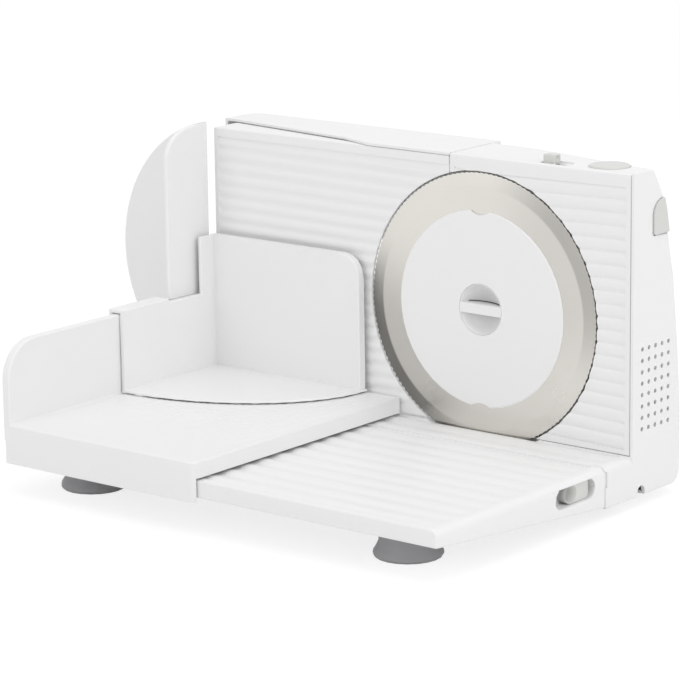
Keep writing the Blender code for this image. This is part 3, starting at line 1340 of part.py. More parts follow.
def thumb_guard():
    """The round plate beside the gauge plate and the panel that stands on the fence in front of it."""
    front = GUARD_REAR_Y - GUARD_PLATE
    low = tray_top() + GAP
    right = GUARD_PANEL_X
    drop = math.asin((GUARD_CENTRE_HEIGHT - low) / GUARD_RADIUS)
    rise = math.acos((right - GUARD_CENTRE_X) / GUARD_RADIUS)
    outline = arc(GUARD_CENTRE_X, GUARD_CENTRE_HEIGHT, GUARD_RADIUS, GUARD_RADIUS, rise, math.pi + drop,
                  ARC_STEPS)
    outline += [(FENCE_INNER_X, low), (FENCE_INNER_X, FENCE_HEIGHT), (right, FENCE_HEIGHT)]
    guard = prism("thumb_guard", outline, "Y", front, GUARD_REAR_Y)
    panel_front = GUARD_REAR_Y - GUARD_PANEL_DEPTH
    base = FENCE_HEIGHT + GAP
    side = [(panel_front, base), (GUARD_REAR_Y - SKIM, base), (GUARD_REAR_Y - SKIM, GUARD_PANEL_TOP)]
    side += arc(panel_front + GUARD_PANEL_ROUND_Y, GUARD_PANEL_TOP - GUARD_PANEL_ROUND_Z, GUARD_PANEL_ROUND_Y,
                GUARD_PANEL_ROUND_Z, math.pi / 2, math.pi, 2 * CORNER_STEPS)
    join(guard, prism("guard_panel", side, "X", right - GUARD_PANEL_THICKNESS, right - SKIM))
    return finished(guard, "white_abs")


def pusher_floor_level():
    return tray_top() + SLIDE_GAP


def pusher():
    """The remnant holder: a wall before the gauge plate, a side that hooks over the fence, and a floor."""
    left = FENCE_INNER_X + SLIDE_GAP
    front = PUSHER_WALL_REAR_Y - PUSHER_WALL
    low = pusher_floor_level()
    wall = rounded_rectangle(left, PUSHER_RIGHT_X, low, PUSHER_TOP, (0, 0, PUSHER_CORNER, 0))
    holder = prism("pusher", wall, "Y", front, PUSHER_WALL_REAR_Y)
    strip = rectangle(PUSHER_STRIP_FRONT_Y, front + OVERRUN, low + SKIM, PUSHER_TOP - SKIM)
    join(holder, prism("pusher_strip", strip, "X", left + SKIM, left + PUSHER_SIDE))
    hook_low = FENCE_HEIGHT + SLIDE_GAP
    side = rectangle(PUSHER_FRONT_Y, front + OVERRUN, low + SKIM, hook_low + SKIM)
    join(holder, prism("pusher_side", side, "X", left + SKIM, left + PUSHER_SIDE))
    hook_left = FENCE_INNER_X - FENCE_THICKNESS - SLIDE_GAP - PUSHER_SIDE
    hook_top = hook_low + PUSHER_HOOK_THICKNESS
    hook = [(left + PUSHER_SIDE, hook_low - OVERRUN), (left + PUSHER_SIDE, hook_top), (hook_left, hook_top),
            (hook_left, hook_top - PUSHER_HOOK_LIP), (hook_left + PUSHER_SIDE, hook_top - PUSHER_HOOK_LIP),
            (hook_left + PUSHER_SIDE, hook_low), (left, hook_low), (left, hook_low - OVERRUN)]
    join(holder, prism("pusher_hook", hook, "Y", PUSHER_FRONT_Y, PUSHER_HOOK_REAR_Y))
    reach_y = PUSHER_WALL_REAR_Y - PUSHER_FRONT_Y
    floor = arc(left + SKIM, PUSHER_WALL_REAR_Y - SKIM, PUSHER_FLOOR_REACH_X, reach_y,
                1.5 * math.pi, 2 * math.pi, ARC_STEPS // 2)
    floor.append((left + SKIM, PUSHER_WALL_REAR_Y - SKIM))
    join(holder, prism("pusher_floor", floor, "Z", low, low + PUSHER_FLOOR))
    return finished(holder, "white_abs")


def push_button():
    """The round cap on the housing's top, pressed to run the blade."""
    top = TOP_HEIGHT + BUTTON_LEAD
    bottom = TOP_HEIGHT - BUTTON_CAP
    stem = SWITCH_BODY_LOW + BUTTON_TRAVEL + WALL + GAP
    profile = [(BUTTON_RADIUS - HUB_ROUND, top), (BUTTON_RADIUS, top - HUB_ROUND), (BUTTON_RADIUS, bottom),
               (BUTTON_STEM_RADIUS, bottom), (BUTTON_STEM_RADIUS, stem)]
    cap = turned("push_button", profile, "Z", (BUTTON_X, BUTTON_Y), ROUND_STEPS)
    return finished(cap, "pale_grey", (BUTTON_X, BUTTON_Y, TOP_HEIGHT))


def slide_switch():
    """The small block in the sunk track, with its stem through the slot."""
    floor = TOP_HEIGHT - SWITCH_TRACK_DEPTH + GAP
    half_x = SWITCH_LENGTH / 2
    half_y = SWITCH_WIDTH / 2
    outline = rounded_rectangle(SWITCH_X - half_x, SWITCH_X + half_x, SWITCH_Y - half_y, SWITCH_Y + half_y,
                                (HUB_ROUND,) * 4)
    tab = prism("slide_switch", outline, "Z", floor, TOP_HEIGHT + SWITCH_LEAD)
    stem = SWITCH_STEM / 2
    join(tab, block("switch_stem", (SWITCH_X - stem, SWITCH_X + stem), (SWITCH_Y - stem, SWITCH_Y + stem),
                    (TOP_HEIGHT - 2 * WALL, floor + SKIM)))
    return finished(tab, "pale_grey", (SWITCH_X, SWITCH_Y, TOP_HEIGHT))


def switch_body():
    """The electric switch behind the front panel, bored for the push button's stem."""
    body = block("switch_body", (SWITCH_BODY_LEFT_X, SWITCH_BODY_RIGHT_X),
                 (PANEL_THICKNESS - FACE_LEAD + GAP, SWITCH_BODY_REAR_Y), (SWITCH_BODY_LOW, SWITCH_BODY_TOP))
    boolean(body, hole("stem_room", BUTTON_STEM_RADIUS + SLIDE_GAP, SWITCH_BODY_LOW + WALL,
                       SWITCH_BODY_TOP + OVERRUN, "Z", (BUTTON_X, BUTTON_Y)))
    boolean(body, hole("recess_clearance", rim_radius() + WALL + GAP, -FACE_LEAD, RECESS_DEPTH + GAP,
                       "Y", (0, AXIS_HEIGHT), 2 * ARC_STEPS))
    return finished(body, "dark_plastic")


def safety_button():
    """The arched button on the housing's side, which wraps round the rear edge."""
    button = prism("safety_button", safety_outline(0), "X", RIGHT_X - SAFETY_DEPTH, RIGHT_X + SAFETY_LEAD)
    keep(button, housing_form("safety_form", -SAFETY_LEAD, SEAM_X, 0, BASE_LIFT))
    return finished(button, "pale_grey", (RIGHT_X, SAFETY_CREST_Y, SAFETY_LOW + SAFETY_SHOULDER))


def safety_switch():
    """The latch case behind the side button, shaped to the walls and open to the button."""
    case = block("safety_switch", (RIGHT_X - WALL - SAFETY_BODY_DEPTH, RIGHT_X),
                 (SAFETY_FRONT_Y - SAFETY_BODY_MARGIN, HOUSING_REAR_Y),
                 (SAFETY_LOW - SAFETY_BODY_MARGIN, SAFETY_LOW + SAFETY_HEIGHT + SAFETY_BODY_MARGIN))
    keep(case, housing_inside("safety_inside", GAP))
    room_x = RIGHT_X - SAFETY_DEPTH - SAFETY_TRAVEL - GAP
    boolean(case, prism("safety_room", safety_outline(SLIDE_GAP), "X", room_x, RIGHT_X + OVERRUN))
    return finished(case, "dark_plastic")


clear_scene()
FRAME = machine_frame()
motor_housing()
front_panel()
bottom_cover()
rear_arm()
gauge_plate()
gauge_rods()
gauge_cam()
thickness_knob()
blade()
hub_cover()
lock_knob()
blade_shaft()
shaft_bushes()
worm_wheel()
motor_worm()
drive_motor()
motor_bracket()
folding_table()
table_lock()
hinge_pins()
suction_feet()
carriage_tray()
thumb_guard()
pusher()
push_button()
slide_switch()
switch_body()
safety_button()
safety_switch()
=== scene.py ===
"""Looks of the food slicer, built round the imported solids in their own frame, in metres."""
import math

import bmesh
import bpy
from mathutils import Matrix, Vector
from mathutils.bvhtree import BVHTree
from mathutils.kdtree import KDTree


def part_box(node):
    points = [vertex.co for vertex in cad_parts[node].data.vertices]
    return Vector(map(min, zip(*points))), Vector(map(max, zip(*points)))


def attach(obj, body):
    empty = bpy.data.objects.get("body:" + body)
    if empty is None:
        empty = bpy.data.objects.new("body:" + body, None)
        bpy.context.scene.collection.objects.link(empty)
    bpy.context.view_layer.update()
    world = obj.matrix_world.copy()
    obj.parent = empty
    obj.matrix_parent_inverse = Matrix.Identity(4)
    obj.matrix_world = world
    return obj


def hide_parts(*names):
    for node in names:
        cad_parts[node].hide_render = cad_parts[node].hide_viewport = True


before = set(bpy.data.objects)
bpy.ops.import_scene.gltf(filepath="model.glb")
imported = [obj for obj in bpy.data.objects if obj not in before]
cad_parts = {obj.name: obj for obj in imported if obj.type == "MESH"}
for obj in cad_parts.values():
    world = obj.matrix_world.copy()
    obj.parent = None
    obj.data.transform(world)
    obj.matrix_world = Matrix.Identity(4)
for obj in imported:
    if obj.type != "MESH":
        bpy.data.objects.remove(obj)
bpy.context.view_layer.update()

# Camera
# The slicer is seen from its front right, a little above, through a long lens. The camera stands where a
# fit of the blade's ellipse and the straight edges puts it.
BLADE_X = 0.0874
FACE_Y = 0.0641
BLADE_Z = 0.108
CAMERA_RIGHT = 1.1506
CAMERA_NEARER = 1.5516
CAMERA_UP = 0.4284
LENS_MM = 170.66
SENSOR_MM = 36
TURN_DEGREES = 39.15
DIP_DEGREES = 13.03
ROLL_DEGREES = -0.79


def placed(name, data):
    """Puts a mesh, a lamp or a camera in the scene as an object."""
    item = bpy.data.objects.new(name, data)
    bpy.context.scene.collection.objects.link(item)
    return item


view = bpy.data.cameras.new("camera")
view.lens = LENS_MM
view.sensor_width = SENSOR_MM
camera = placed("camera", view)
camera.matrix_world = (
    Matrix.Translation((BLADE_X + CAMERA_RIGHT, FACE_Y - CAMERA_NEARER, BLADE_Z + CAMERA_UP))
    @ Matrix.Rotation(math.radians(TURN_DEGREES), 4, "Z")
    @ Matrix.Rotation(math.radians(90 - DIP_DEGREES), 4, "X")
    @ Matrix.Rotation(math.radians(ROLL_DEGREES), 4, "Z")
)
bpy.context.scene.camera = camera

# Studio
# A sweep of white paper, two thirds of whose brightness is its own to the camera, so that the slicer's soft
# shadow stays on it. One large lamp hangs overhead and one stands on each side of the camera, all soft, in
# a bright room.
SWEEP_HALF = 6
LAMPS_AIM = Vector((0, 0, 0.1))


def linear(hex_code):
    """Turns an sRGB hex colour to the linear values that a shader takes."""
    parts = [int(hex_code[at:at + 2], 16) / 255 for at in (0, 2, 4)]
    return (*[part / 12.92 if part <= 0.04045 else ((part + 0.055) / 1.055) ** 2.4 for part in parts], 1.0)


def add(tree, kind, settings=None, links=None):
    """Adds a node: settings are its own values or its inputs' ones, and links join sockets to its inputs."""
    made = tree.nodes.new(kind)
    for name, value in (settings or {}).items():
        if isinstance(name, str) and hasattr(made, name):
            setattr(made, name, value)
        else:
            made.inputs[name].default_value = value
    for name, socket in (links or {}).items():
        tree.links.new(socket, made.inputs[name])
    return made


def start_material(name):
    """An empty material and its tree."""
    material = bpy.data.materials.new(name)
    material.use_nodes = True
    material.node_tree.nodes.clear()
    return material, material.node_tree


def white_to_the_eye(tree):
    """A value of one for a ray from the camera, or one that a mirror or glass sends on."""
    path = add(tree, "ShaderNodeLightPath")
    mirrored = add(tree, "ShaderNodeMath", {"operation": "MAXIMUM"},
                   {0: path.outputs["Is Glossy Ray"], 1: path.outputs["Is Transmission Ray"]})
    return add(tree, "ShaderNodeMath", {"operation": "MAXIMUM"},
               {0: path.outputs["Is Camera Ray"], 1: mirrored.outputs[0]}).outputs[0]


# Matt white paper: it has no gloss, and its own brightness keeps it pure white beside the shadow.
sweep, tree = start_material("matt_paper_sweep")
share = add(tree, "ShaderNodeMath", {"operation": "MULTIPLY", 1: 0.68}, {0: white_to_the_eye(tree)})
paper = add(tree, "ShaderNodeBsdfDiffuse", {"Color": linear("F2F2F2")})
glow = add(tree, "ShaderNodeEmission", {"Color": linear("FFFFFF"), "Strength": 1.15})
mixed = add(tree, "ShaderNodeMixShader", None, {0: share.outputs[0], 1: paper.outputs[0], 2: glow.outputs[0]})
add(tree, "ShaderNodeOutputMaterial", None, {"Surface": mixed.outputs[0]})

room = bpy.data.worlds.new("studio")
room.use_nodes = True
room.node_tree.nodes.clear()
tree = room.node_tree
dim = add(tree, "ShaderNodeBackground", {"Color": linear("FFFFFF"), "Strength": 0.73})
bright = add(tree, "ShaderNodeBackground", {"Color": linear("FFFFFF"), "Strength": 1.0})
mixed = add(tree, "ShaderNodeMixShader", None,
            {0: white_to_the_eye(tree), 1: dim.outputs[0], 2: bright.outputs[0]})
add(tree, "ShaderNodeOutputWorld", None, {"Surface": mixed.outputs[0]})
bpy.context.scene.world = room
bpy.context.scene.view_settings.view_transform = "Standard"

mesh = bpy.data.meshes.new("floor")
mesh.from_pydata([(-SWEEP_HALF, -SWEEP_HALF, 0), (SWEEP_HALF, -SWEEP_HALF, 0), (SWEEP_HALF, SWEEP_HALF, 0),
                  (-SWEEP_HALF, SWEEP_HALF, 0)], [], [(0, 1, 2, 3)])
mesh.materials.append(sweep)
floor = placed("floor", mesh)

# Each lamp's name, place, side and power in watts.
LAMPS = (
    ("lamp_over", (0.3, 0.1, 1.9), 1.6, 8.4),
    ("lamp_right", (2.0, -0.3, 0.9), 1.3, 7.6),
    ("lamp_front", (-0.5, -2.2, 1.0), 1.3, 6.2),
)
for name, place, side, power in LAMPS:
    lamp = bpy.data.lights.new(name, "AREA")
    lamp.shape = "SQUARE"
    lamp.size = side
    lamp.energy = power
    holder = placed(name, lamp)
    holder.location = place
    holder.rotation_euler = (LAMPS_AIM - Vector(place)).to_track_quat("-Z", "Y").to_euler()

# Motor housing
# The body and its fixed base are one injection moulding in white ABS, hollow, with a lightly sparked mould
# face. Its edges are eased by about a millimetre, and small round vents go through the right wall.
MM_PER_METRE = 1000
# Noise keeps to the middle of its range, so these are its usual lowest and highest values.
NOISE_LOW = 0.1
NOISE_HIGH = 0.9
SINK_PER_METRE = 18.0
GLOSS_LESS = 0.05
GLOSS_MORE = 0.06


def moulded(name, colour, roughness, grain_mm, grain_depth_mm, sink_share=0.03, coat=0.0, ior=1.53):
    """A moulded plastic: the grain of the mould's face, and a slow change of tone and gloss where it shrank.

    A real sparked grain is near a tenth of a millimetre, too fine to show here, so grain_mm is coarser.
    """
    material, tree = start_material(name)
    place = add(tree, "ShaderNodeTexCoord")
    grain = add(tree, "ShaderNodeTexNoise",
                {"Scale": MM_PER_METRE / grain_mm, "Detail": 2.0, "Roughness": 0.6},
                {"Vector": place.outputs["Object"]})
    sink = add(tree, "ShaderNodeTexNoise", {"Scale": SINK_PER_METRE, "Detail": 3.0, "Roughness": 0.5},
               {"Vector": place.outputs["Object"]})
    tone = add(tree, "ShaderNodeMapRange",
               {"From Min": NOISE_LOW, "From Max": NOISE_HIGH, "To Min": 1.0 - sink_share, "To Max": 1.0},
               {"Value": sink.outputs["Fac"]})
    shade = add(tree, "ShaderNodeMix",
                {"data_type": "RGBA", "blend_type": "MULTIPLY", 0: 1.0, 6: linear(colour)},
                {7: tone.outputs["Result"]})
    gloss = add(tree, "ShaderNodeMapRange",
                {"From Min": NOISE_LOW, "From Max": NOISE_HIGH, "To Min": roughness - GLOSS_LESS,
                 "To Max": roughness + GLOSS_MORE}, {"Value": sink.outputs["Fac"]})
    bump = add(tree, "ShaderNodeBump", {"Strength": 0.4, "Distance": grain_depth_mm / MM_PER_METRE},
               {"Height": grain.outputs["Fac"]})
    shader = add(tree, "ShaderNodeBsdfPrincipled", {"IOR": ior, "Coat Weight": coat, "Coat Roughness": 0.1},
                 {"Base Color": shade.outputs[2], "Roughness": gloss.outputs["Result"],
                  "Normal": bump.outputs["Normal"]})
    add(tree, "ShaderNodeOutputMaterial", None, {"Surface": shader.outputs[0]})
    return material


def settle(piece, body, slot, material, *nodes):
    """Rides a finished piece on its body, in place of CAD nodes, with its material. The slot is not used."""
    piece.data.materials.clear()
    piece.data.materials.append(material)
    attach(piece, body)
    if nodes:
        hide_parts(*nodes)
    return piece


def soften(work, degrees):
    """Shades a mesh smooth, but for the edges that turn by more than so many degrees."""
    for face in work.faces:
        face.smooth = True
    for edge in work.edges:
        if len(edge.link_faces) == 2:
            edge.smooth = edge.calc_face_angle() < math.radians(degrees)


def even_faces(piece):
    """Lets the larger faces lead the shading, so that a wall stays even beside its rounded edge."""
    weighted = piece.modifiers.new("even_faces", "WEIGHTED_NORMAL")
    weighted.keep_sharp = True
    weighted.weight = 50


# Points nearer than MERGE_GAP are one point, and faces that turn by less than FLAT_DEGREES are one face.
MERGE_GAP = 6e-5
SLIVER = 1e-5
TINY = 1e-6
FLAT_DEGREES = 0.8
SOFT_DEGREES = 34
# An edge is rounded when its faces are wider than ROOM_IN_RADII. When a rounding is spoilt, the edges within
# CLEAR_IN_RADII of the place stay sharp at the next try, and those CLEAR_STEP further at each try after it.
ROOM_IN_RADII = 2.1
CLEAR_IN_RADII = 1.5
CLEAR_STEP = 0.5
EASE_TRIES = 9
# The cosine between a rounded face and the solid's nearest face under which it faces the wrong way.
TURNED_AWAY = -0.1


def spoilt_places(work, plain_tree, low, high):
    """Middles of faces that cross another, face the wrong way, or stand outside the CAD node's box."""
    work.faces.ensure_lookup_table()
    places = []
    tree = BVHTree.FromBMesh(work)
    for one, other in tree.overlap(tree):
        if one < other:
            first, second = work.faces[one], work.faces[other]
            if not set(first.verts) & set(second.verts):
                places += [first.calc_center_median(), second.calc_center_median()]
    for face in work.faces:
        middle = face.calc_center_median()
        normal = plain_tree.find_nearest(middle)[1]
        outside = any(vert.co[at] < low[at] - TINY or vert.co[at] > high[at] + TINY
                      for vert in face.verts for at in range(3))
        if outside or face.normal.dot(normal) < TURNED_AWAY:
            places.append(middle)
    return places


def eased(name, radius_mm, segments=2, sharp_degrees=38, least_face_mm2=6.0, keep=None, moved=None):
    """A copy of a CAD node with its long edges rounded, as a mould leaves them.

    Small features, such as vents, keep their edges, because their faces are smaller than least_face_mm2.
    So do the edges of a face that is too narrow for the rounding, and those whose rounding would run into
    something. moved gives a point its new place before the rounding, and keep says which edges stay.
    """
    radius = radius_mm / MM_PER_METRE
    plain = bmesh.new()
    plain.from_mesh(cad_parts[name].data)
    bmesh.ops.remove_doubles(plain, verts=plain.verts, dist=MERGE_GAP)
    for vert in plain.verts if moved else ():
        vert.co = moved(vert.co)
    bmesh.ops.dissolve_degenerate(plain, dist=SLIVER, edges=plain.edges)
    bmesh.ops.dissolve_limit(plain, angle_limit=math.radians(FLAT_DEGREES), verts=plain.verts,
                             edges=plain.edges)
    plain_tree = BVHTree.FromBMesh(plain)
    low = [min(vert.co[at] for vert in plain.verts) for at in range(3)]
    high = [max(vert.co[at] for vert in plain.verts) for at in range(3)]
    wanted = {}
    for edge in plain.edges:
        if len(edge.link_faces) != 2 or edge.calc_face_angle() < math.radians(sharp_degrees):
            continue
        start, stop = (vert.co.copy() for vert in edge.verts)
        along = (stop - start).normalized()
        widths = [max((vert.co - start).cross(along).length for vert in face.verts)
                  for face in edge.link_faces]
        small = min(face.calc_area() for face in edge.link_faces) < least_face_mm2 / MM_PER_METRE ** 2
        if not small and min(widths) > ROOM_IN_RADII * radius and not (keep and keep((start + stop) / 2)):
            wanted[edge.index] = (start, stop)
    for attempt in range(EASE_TRIES):
        work = plain.copy()
        work.edges.ensure_lookup_table()
        bmesh.ops.bevel(work, geom=[work.edges[index] for index in wanted], offset=radius,
                        segments=segments, profile=0.5, affect="EDGES", clamp_overlap=False,
                        offset_type="OFFSET", loop_slide=True)
        bmesh.ops.triangulate(work, faces=[face for face in work.faces if len(face.verts) > 4],
                              ngon_method="EAR_CLIP")
        places = spoilt_places(work, plain_tree, low, high)
        if not places or attempt == EASE_TRIES - 1:
            break
        spoilt = KDTree(len(places))
        for index, place in enumerate(places):
            spoilt.insert(place, index)
        spoilt.balance()
        left = {}
        clear = (CLEAR_IN_RADII + CLEAR_STEP * attempt) * radius
        for index, (start, stop) in wanted.items():
            steps = max(2, int((stop - start).length / radius))
            points = [start.lerp(stop, step / steps) for step in range(steps + 1)]
            if min(spoilt.find(point)[2] for point in points) > clear:
                left[index] = (start, stop)
        if len(left) == len(wanted):
            break
        wanted = left
        work.free()
    plain.free()
    soften(work, SOFT_DEGREES)
    mesh = bpy.data.meshes.new(name + "_moulding")
    work.to_mesh(mesh)
    work.free()
    piece = placed(name + "_moulding", mesh)
    even_faces(piece)
    return piece


# White ABS from a sparked mould: a soft satin that the eye reads by its shade alone, with no hard highlight.
white_abs = moulded("white_abs_sparked", "EFEFEF", 0.40, 0.6, 0.03, 0.015)
settle(eased("motor_housing", 0.9), "housing", "white_abs", white_abs, "motor_housing")

# Front panel
# A white ABS moulding set in the housing's face: shallow waves that food slides over, and the dished recess
# in which the blade runs. It snaps in, which leaves a hairline seam on its right.
RIM_RADIUS = 0.0860
SOLID_RIM_LEAST = 0.0873
SOLID_RIM_MOST = 0.0890
RIB_STAND = 0.001
RIB_RISE = 0.00085
RIB_FACE_Y = FACE_Y - RIB_STAND
SEAM_FROM_BLADE = 0.0235
SEAM_X = BLADE_X - SEAM_FROM_BLADE
SEAM_REACH = 0.0008
FOOT_REACH = 0.0004
PANEL_RIB_SHARE = 0.4


def rim_drawn_in(foot_z, rib_share):
    """Brings the wall round the blade in to a millimetre from the teeth, and flattens the ribs to a share."""
    def drawn_in(point):
        x, z = point.x - BLADE_X, point.z - BLADE_Z
        if RIB_FACE_Y < point.y < RIB_FACE_Y + RIB_RISE:
            point = Vector((point.x, RIB_FACE_Y + rib_share * (point.y - RIB_FACE_Y), point.z))
        if not SOLID_RIM_LEAST < math.hypot(x, z) < SOLID_RIM_MOST:
            return point
        if abs(point.x - SEAM_X) < SEAM_REACH:
            return Vector((point.x, point.y, BLADE_Z + math.copysign(math.sqrt(RIM_RADIUS ** 2 - x ** 2), z)))
        if abs(point.z - foot_z) < FOOT_REACH:
            return Vector((BLADE_X + math.copysign(math.sqrt(RIM_RADIUS ** 2 - z ** 2), x), point.y, point.z))
        share = RIM_RADIUS / math.hypot(x, z)
        return Vector((BLADE_X + x * share, point.y, BLADE_Z + z * share))
    return drawn_in


settle(eased("front_panel", 0.6, moved=rim_drawn_in(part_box("front_panel")[0][2], PANEL_RIB_SHARE)), "housing",
       "white_abs", white_abs, "front_panel")

# Gauge plate and arm
# The ribbed plate that food rests against, which slides back to set the slice, and the hollow arm behind it.
# Both are moulded in white ABS. Two steel rods guide the plate, and the arm is fixed to the housing.
GAUGE_RIB_SHARE = 0.85
settle(eased("gauge_plate", 0.9, moved=rim_drawn_in(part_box("gauge_plate")[0][2], GAUGE_RIB_SHARE)), "gauge",
       "white_abs", white_abs, "gauge_plate")
settle(eased("rear_arm", 0.8), "housing", "white_abs", white_abs, "rear_arm")

# Blade
# A serrated disc of stainless steel, stamped, dished and ground: the broad bevel and the band are turned on
# a wheel, so fine rings run round it. Two dark fans from the middle are painted reflection in its colour.
BLADE_CENTRE = Vector((BLADE_X, FACE_Y, BLADE_Z))
METAL_GLOSS_SPREAD = 0.06
# The right painted fan's direction, how dark the painted fans are, and the radius at which the bevel starts.
FAN_DEGREES = 28
FAN_MEAN = 0.78
FAN_LEAN = -0.22
FAN_ON_BAND = 0.24
FAN_ON_BEVEL = 0.72
BEVEL_FOOT = 0.0762
BEVEL_FOOT_BLUR = 0.0006


def fanned(tree, shade, from_middle, radius):
    """Paints reflection into a ground face's colour: two dark fans from its middle, the left one more, most on
    the bevel.
    """
    parts = add(tree, "ShaderNodeSeparateXYZ", None, {0: from_middle.outputs[0]}).outputs
    turn = add(tree, "ShaderNodeMath", {"operation": "ARCTAN2"}, {0: parts["Z"], 1: parts["X"]})
    twice = add(tree, "ShaderNodeMath",
                {"operation": "MULTIPLY_ADD", 1: 2.0, 2: math.radians(-2 * FAN_DEGREES)},
                {0: turn.outputs[0]})
    wave = add(tree, "ShaderNodeMath", {"operation": "COSINE"}, {0: twice.outputs[0]})
    fan = add(tree, "ShaderNodeMapRange",
              {"interpolation_type": "SMOOTHSTEP", "From Min": -0.5, "From Max": 1.0},
              {"Value": wave.outputs[0]})
    once = add(tree, "ShaderNodeMath", {"operation": "MULTIPLY", 1: 0.5}, {0: twice.outputs[0]})
    side = add(tree, "ShaderNodeMath", {"operation": "COSINE"}, {0: once.outputs[0]})
    lean = add(tree, "ShaderNodeMath", {"operation": "MULTIPLY_ADD", 1: FAN_LEAN, 2: FAN_MEAN},
               {0: side.outputs[0]})
    leaning = add(tree, "ShaderNodeMath", {"operation": "MULTIPLY"}, {0: fan.outputs[0], 1: lean.outputs[0]})
    depth = add(tree, "ShaderNodeMapRange",
                {"From Min": BEVEL_FOOT - BEVEL_FOOT_BLUR, "From Max": BEVEL_FOOT + BEVEL_FOOT_BLUR,
                 "To Min": FAN_ON_BAND, "To Max": FAN_ON_BEVEL}, {"Value": radius.outputs["Value"]})
    dark = add(tree, "ShaderNodeMath", {"operation": "MULTIPLY"},
               {0: leaning.outputs[0], 1: depth.outputs["Result"]})
    light = add(tree, "ShaderNodeMath", {"operation": "SUBTRACT", 0: 1.0}, {1: dark.outputs[0]})
    return add(tree, "ShaderNodeMix", {"data_type": "RGBA", "blend_type": "MULTIPLY", 0: 1.0},
               {6: shade.outputs[2], 7: light.outputs[0]})


def turned_metal(name, colour, roughness, ring_mm, centre, axis, stretch=0.0, fans=False):
    """Metal cut on a lathe or a wheel: rings round the axis, from noise on the distance to it.

    The real rings are some hundredths of a millimetre apart, so ring_mm is drawn coarser, to show.
    """
    material, tree = start_material(name)
    place = add(tree, "ShaderNodeTexCoord")
    from_middle = add(tree, "ShaderNodeVectorMath", {"operation": "SUBTRACT", 1: centre},
                      {0: place.outputs["Object"]})
    flat = add(tree, "ShaderNodeVectorMath",
               {"operation": "MULTIPLY", 1: [0.0 if part else 1.0 for part in axis]},
               {0: from_middle.outputs[0]})
    radius = add(tree, "ShaderNodeVectorMath", {"operation": "LENGTH"}, {0: flat.outputs[0]})
    scaled = add(tree, "ShaderNodeMath", {"operation": "MULTIPLY", 1: MM_PER_METRE / ring_mm},
                 {0: radius.outputs["Value"]})
    rings = add(tree, "ShaderNodeTexNoise",
                {"noise_dimensions": "1D", "Scale": 1.0, "Detail": 4.0, "Roughness": 0.7},
                {"W": scaled.outputs[0]})
    smear = add(tree, "ShaderNodeTexNoise", {"Scale": 30.0, "Detail": 3.0},
                {"Vector": place.outputs["Object"]})
    tone = add(tree, "ShaderNodeMapRange",
               {"From Min": NOISE_LOW, "From Max": NOISE_HIGH, "To Min": 0.9, "To Max": 1.0},
               {"Value": rings.outputs["Fac"]})
    shade = add(tree, "ShaderNodeMix",
                {"data_type": "RGBA", "blend_type": "MULTIPLY", 0: 1.0, 6: linear(colour)},
                {7: tone.outputs["Result"]})
    # Painted reflection: two dark fans darken the colour.
    if fans:
        shade = fanned(tree, shade, from_middle, radius)
    gloss = add(tree, "ShaderNodeMapRange",
                {"From Min": NOISE_LOW, "From Max": NOISE_HIGH, "To Min": roughness - METAL_GLOSS_SPREAD,
                 "To Max": roughness + METAL_GLOSS_SPREAD}, {"Value": smear.outputs["Fac"]})
    bump = add(tree, "ShaderNodeBump", {"Strength": 0.25, "Distance": 0.00002},
               {"Height": rings.outputs["Fac"]})
    around = add(tree, "ShaderNodeVectorMath", {"operation": "CROSS_PRODUCT", 1: axis}, {0: flat.outputs[0]})
    along = add(tree, "ShaderNodeVectorMath", {"operation": "NORMALIZE"}, {0: around.outputs[0]})
    shader = add(tree, "ShaderNodeBsdfPrincipled", {"Metallic": 1.0, "Anisotropic": stretch},
                 {"Base Color": shade.outputs[2], "Roughness": gloss.outputs["Result"],
                  "Normal": bump.outputs["Normal"], "Tangent": along.outputs[0]})
    add(tree, "ShaderNodeOutputMaterial", None, {"Surface": shader.outputs[0]})
    return material


def with_sizes(tree, sizes):
    """Gives a tree an input for each named size and an output for its mesh, and returns its inputs."""
    for name, value in sizes:
        kind = "NodeSocketInt" if isinstance(value, int) else "NodeSocketFloat"
        tree.interface.new_socket(name, in_out="INPUT", socket_type=kind).default_value = value
    tree.interface.new_socket("Mesh", in_out="OUTPUT", socket_type="NodeSocketGeometry")
    return add(tree, "NodeGroupInput").outputs


def end_tree(tree, shape, material):
    """Ends a tree in a plain mesh of one material."""
    real = add(tree, "GeometryNodeRealizeInstances", None, {"Geometry": shape})
    coloured = add(tree, "GeometryNodeSetMaterial", {"Material": material}, {"Geometry": real.outputs[0]})
    add(tree, "NodeGroupOutput", None, {0: coloured.outputs[0]})
    return tree


BLADE_SIZES = (
    ("Radius", 0.085),
    ("Teeth", 144),
    ("Tooth depth", 0.0006),
    ("Bevel width", 0.009),
    ("Band width", 0.018),
    ("Dish run", 0.004),
    ("Bore", 0.018),
    ("Crown", 0.0011),
    ("Dish depth", 0.004),
    ("Thickness", 0.0012),
)
STEPS_PER_TOOTH = 4
EASE_SHARE = 0.6
BEVEL_RISE_SHARE = 0.93
# The disc's section, from the teeth over the front to the bore and back: radius, depth, share of teeth.
BLADE_SECTION = (
    ("Radius", 0.0, 1.0),
    ("bevel foot", "bevel rise", 0.0),
    ("band edge", "crown", 0.0),
    ("band inner", "crown", 0.0),
    ("dish", "deep", 0.0),
    ("Bore", "deep", 0.0),
    ("Bore", "dish back", 0.0),
    ("dish", "dish back", 0.0),
    ("band inner", "band back", 0.0),
    ("band outer", "band back", 0.0),
    ("Radius", 0.0, 1.0),
)
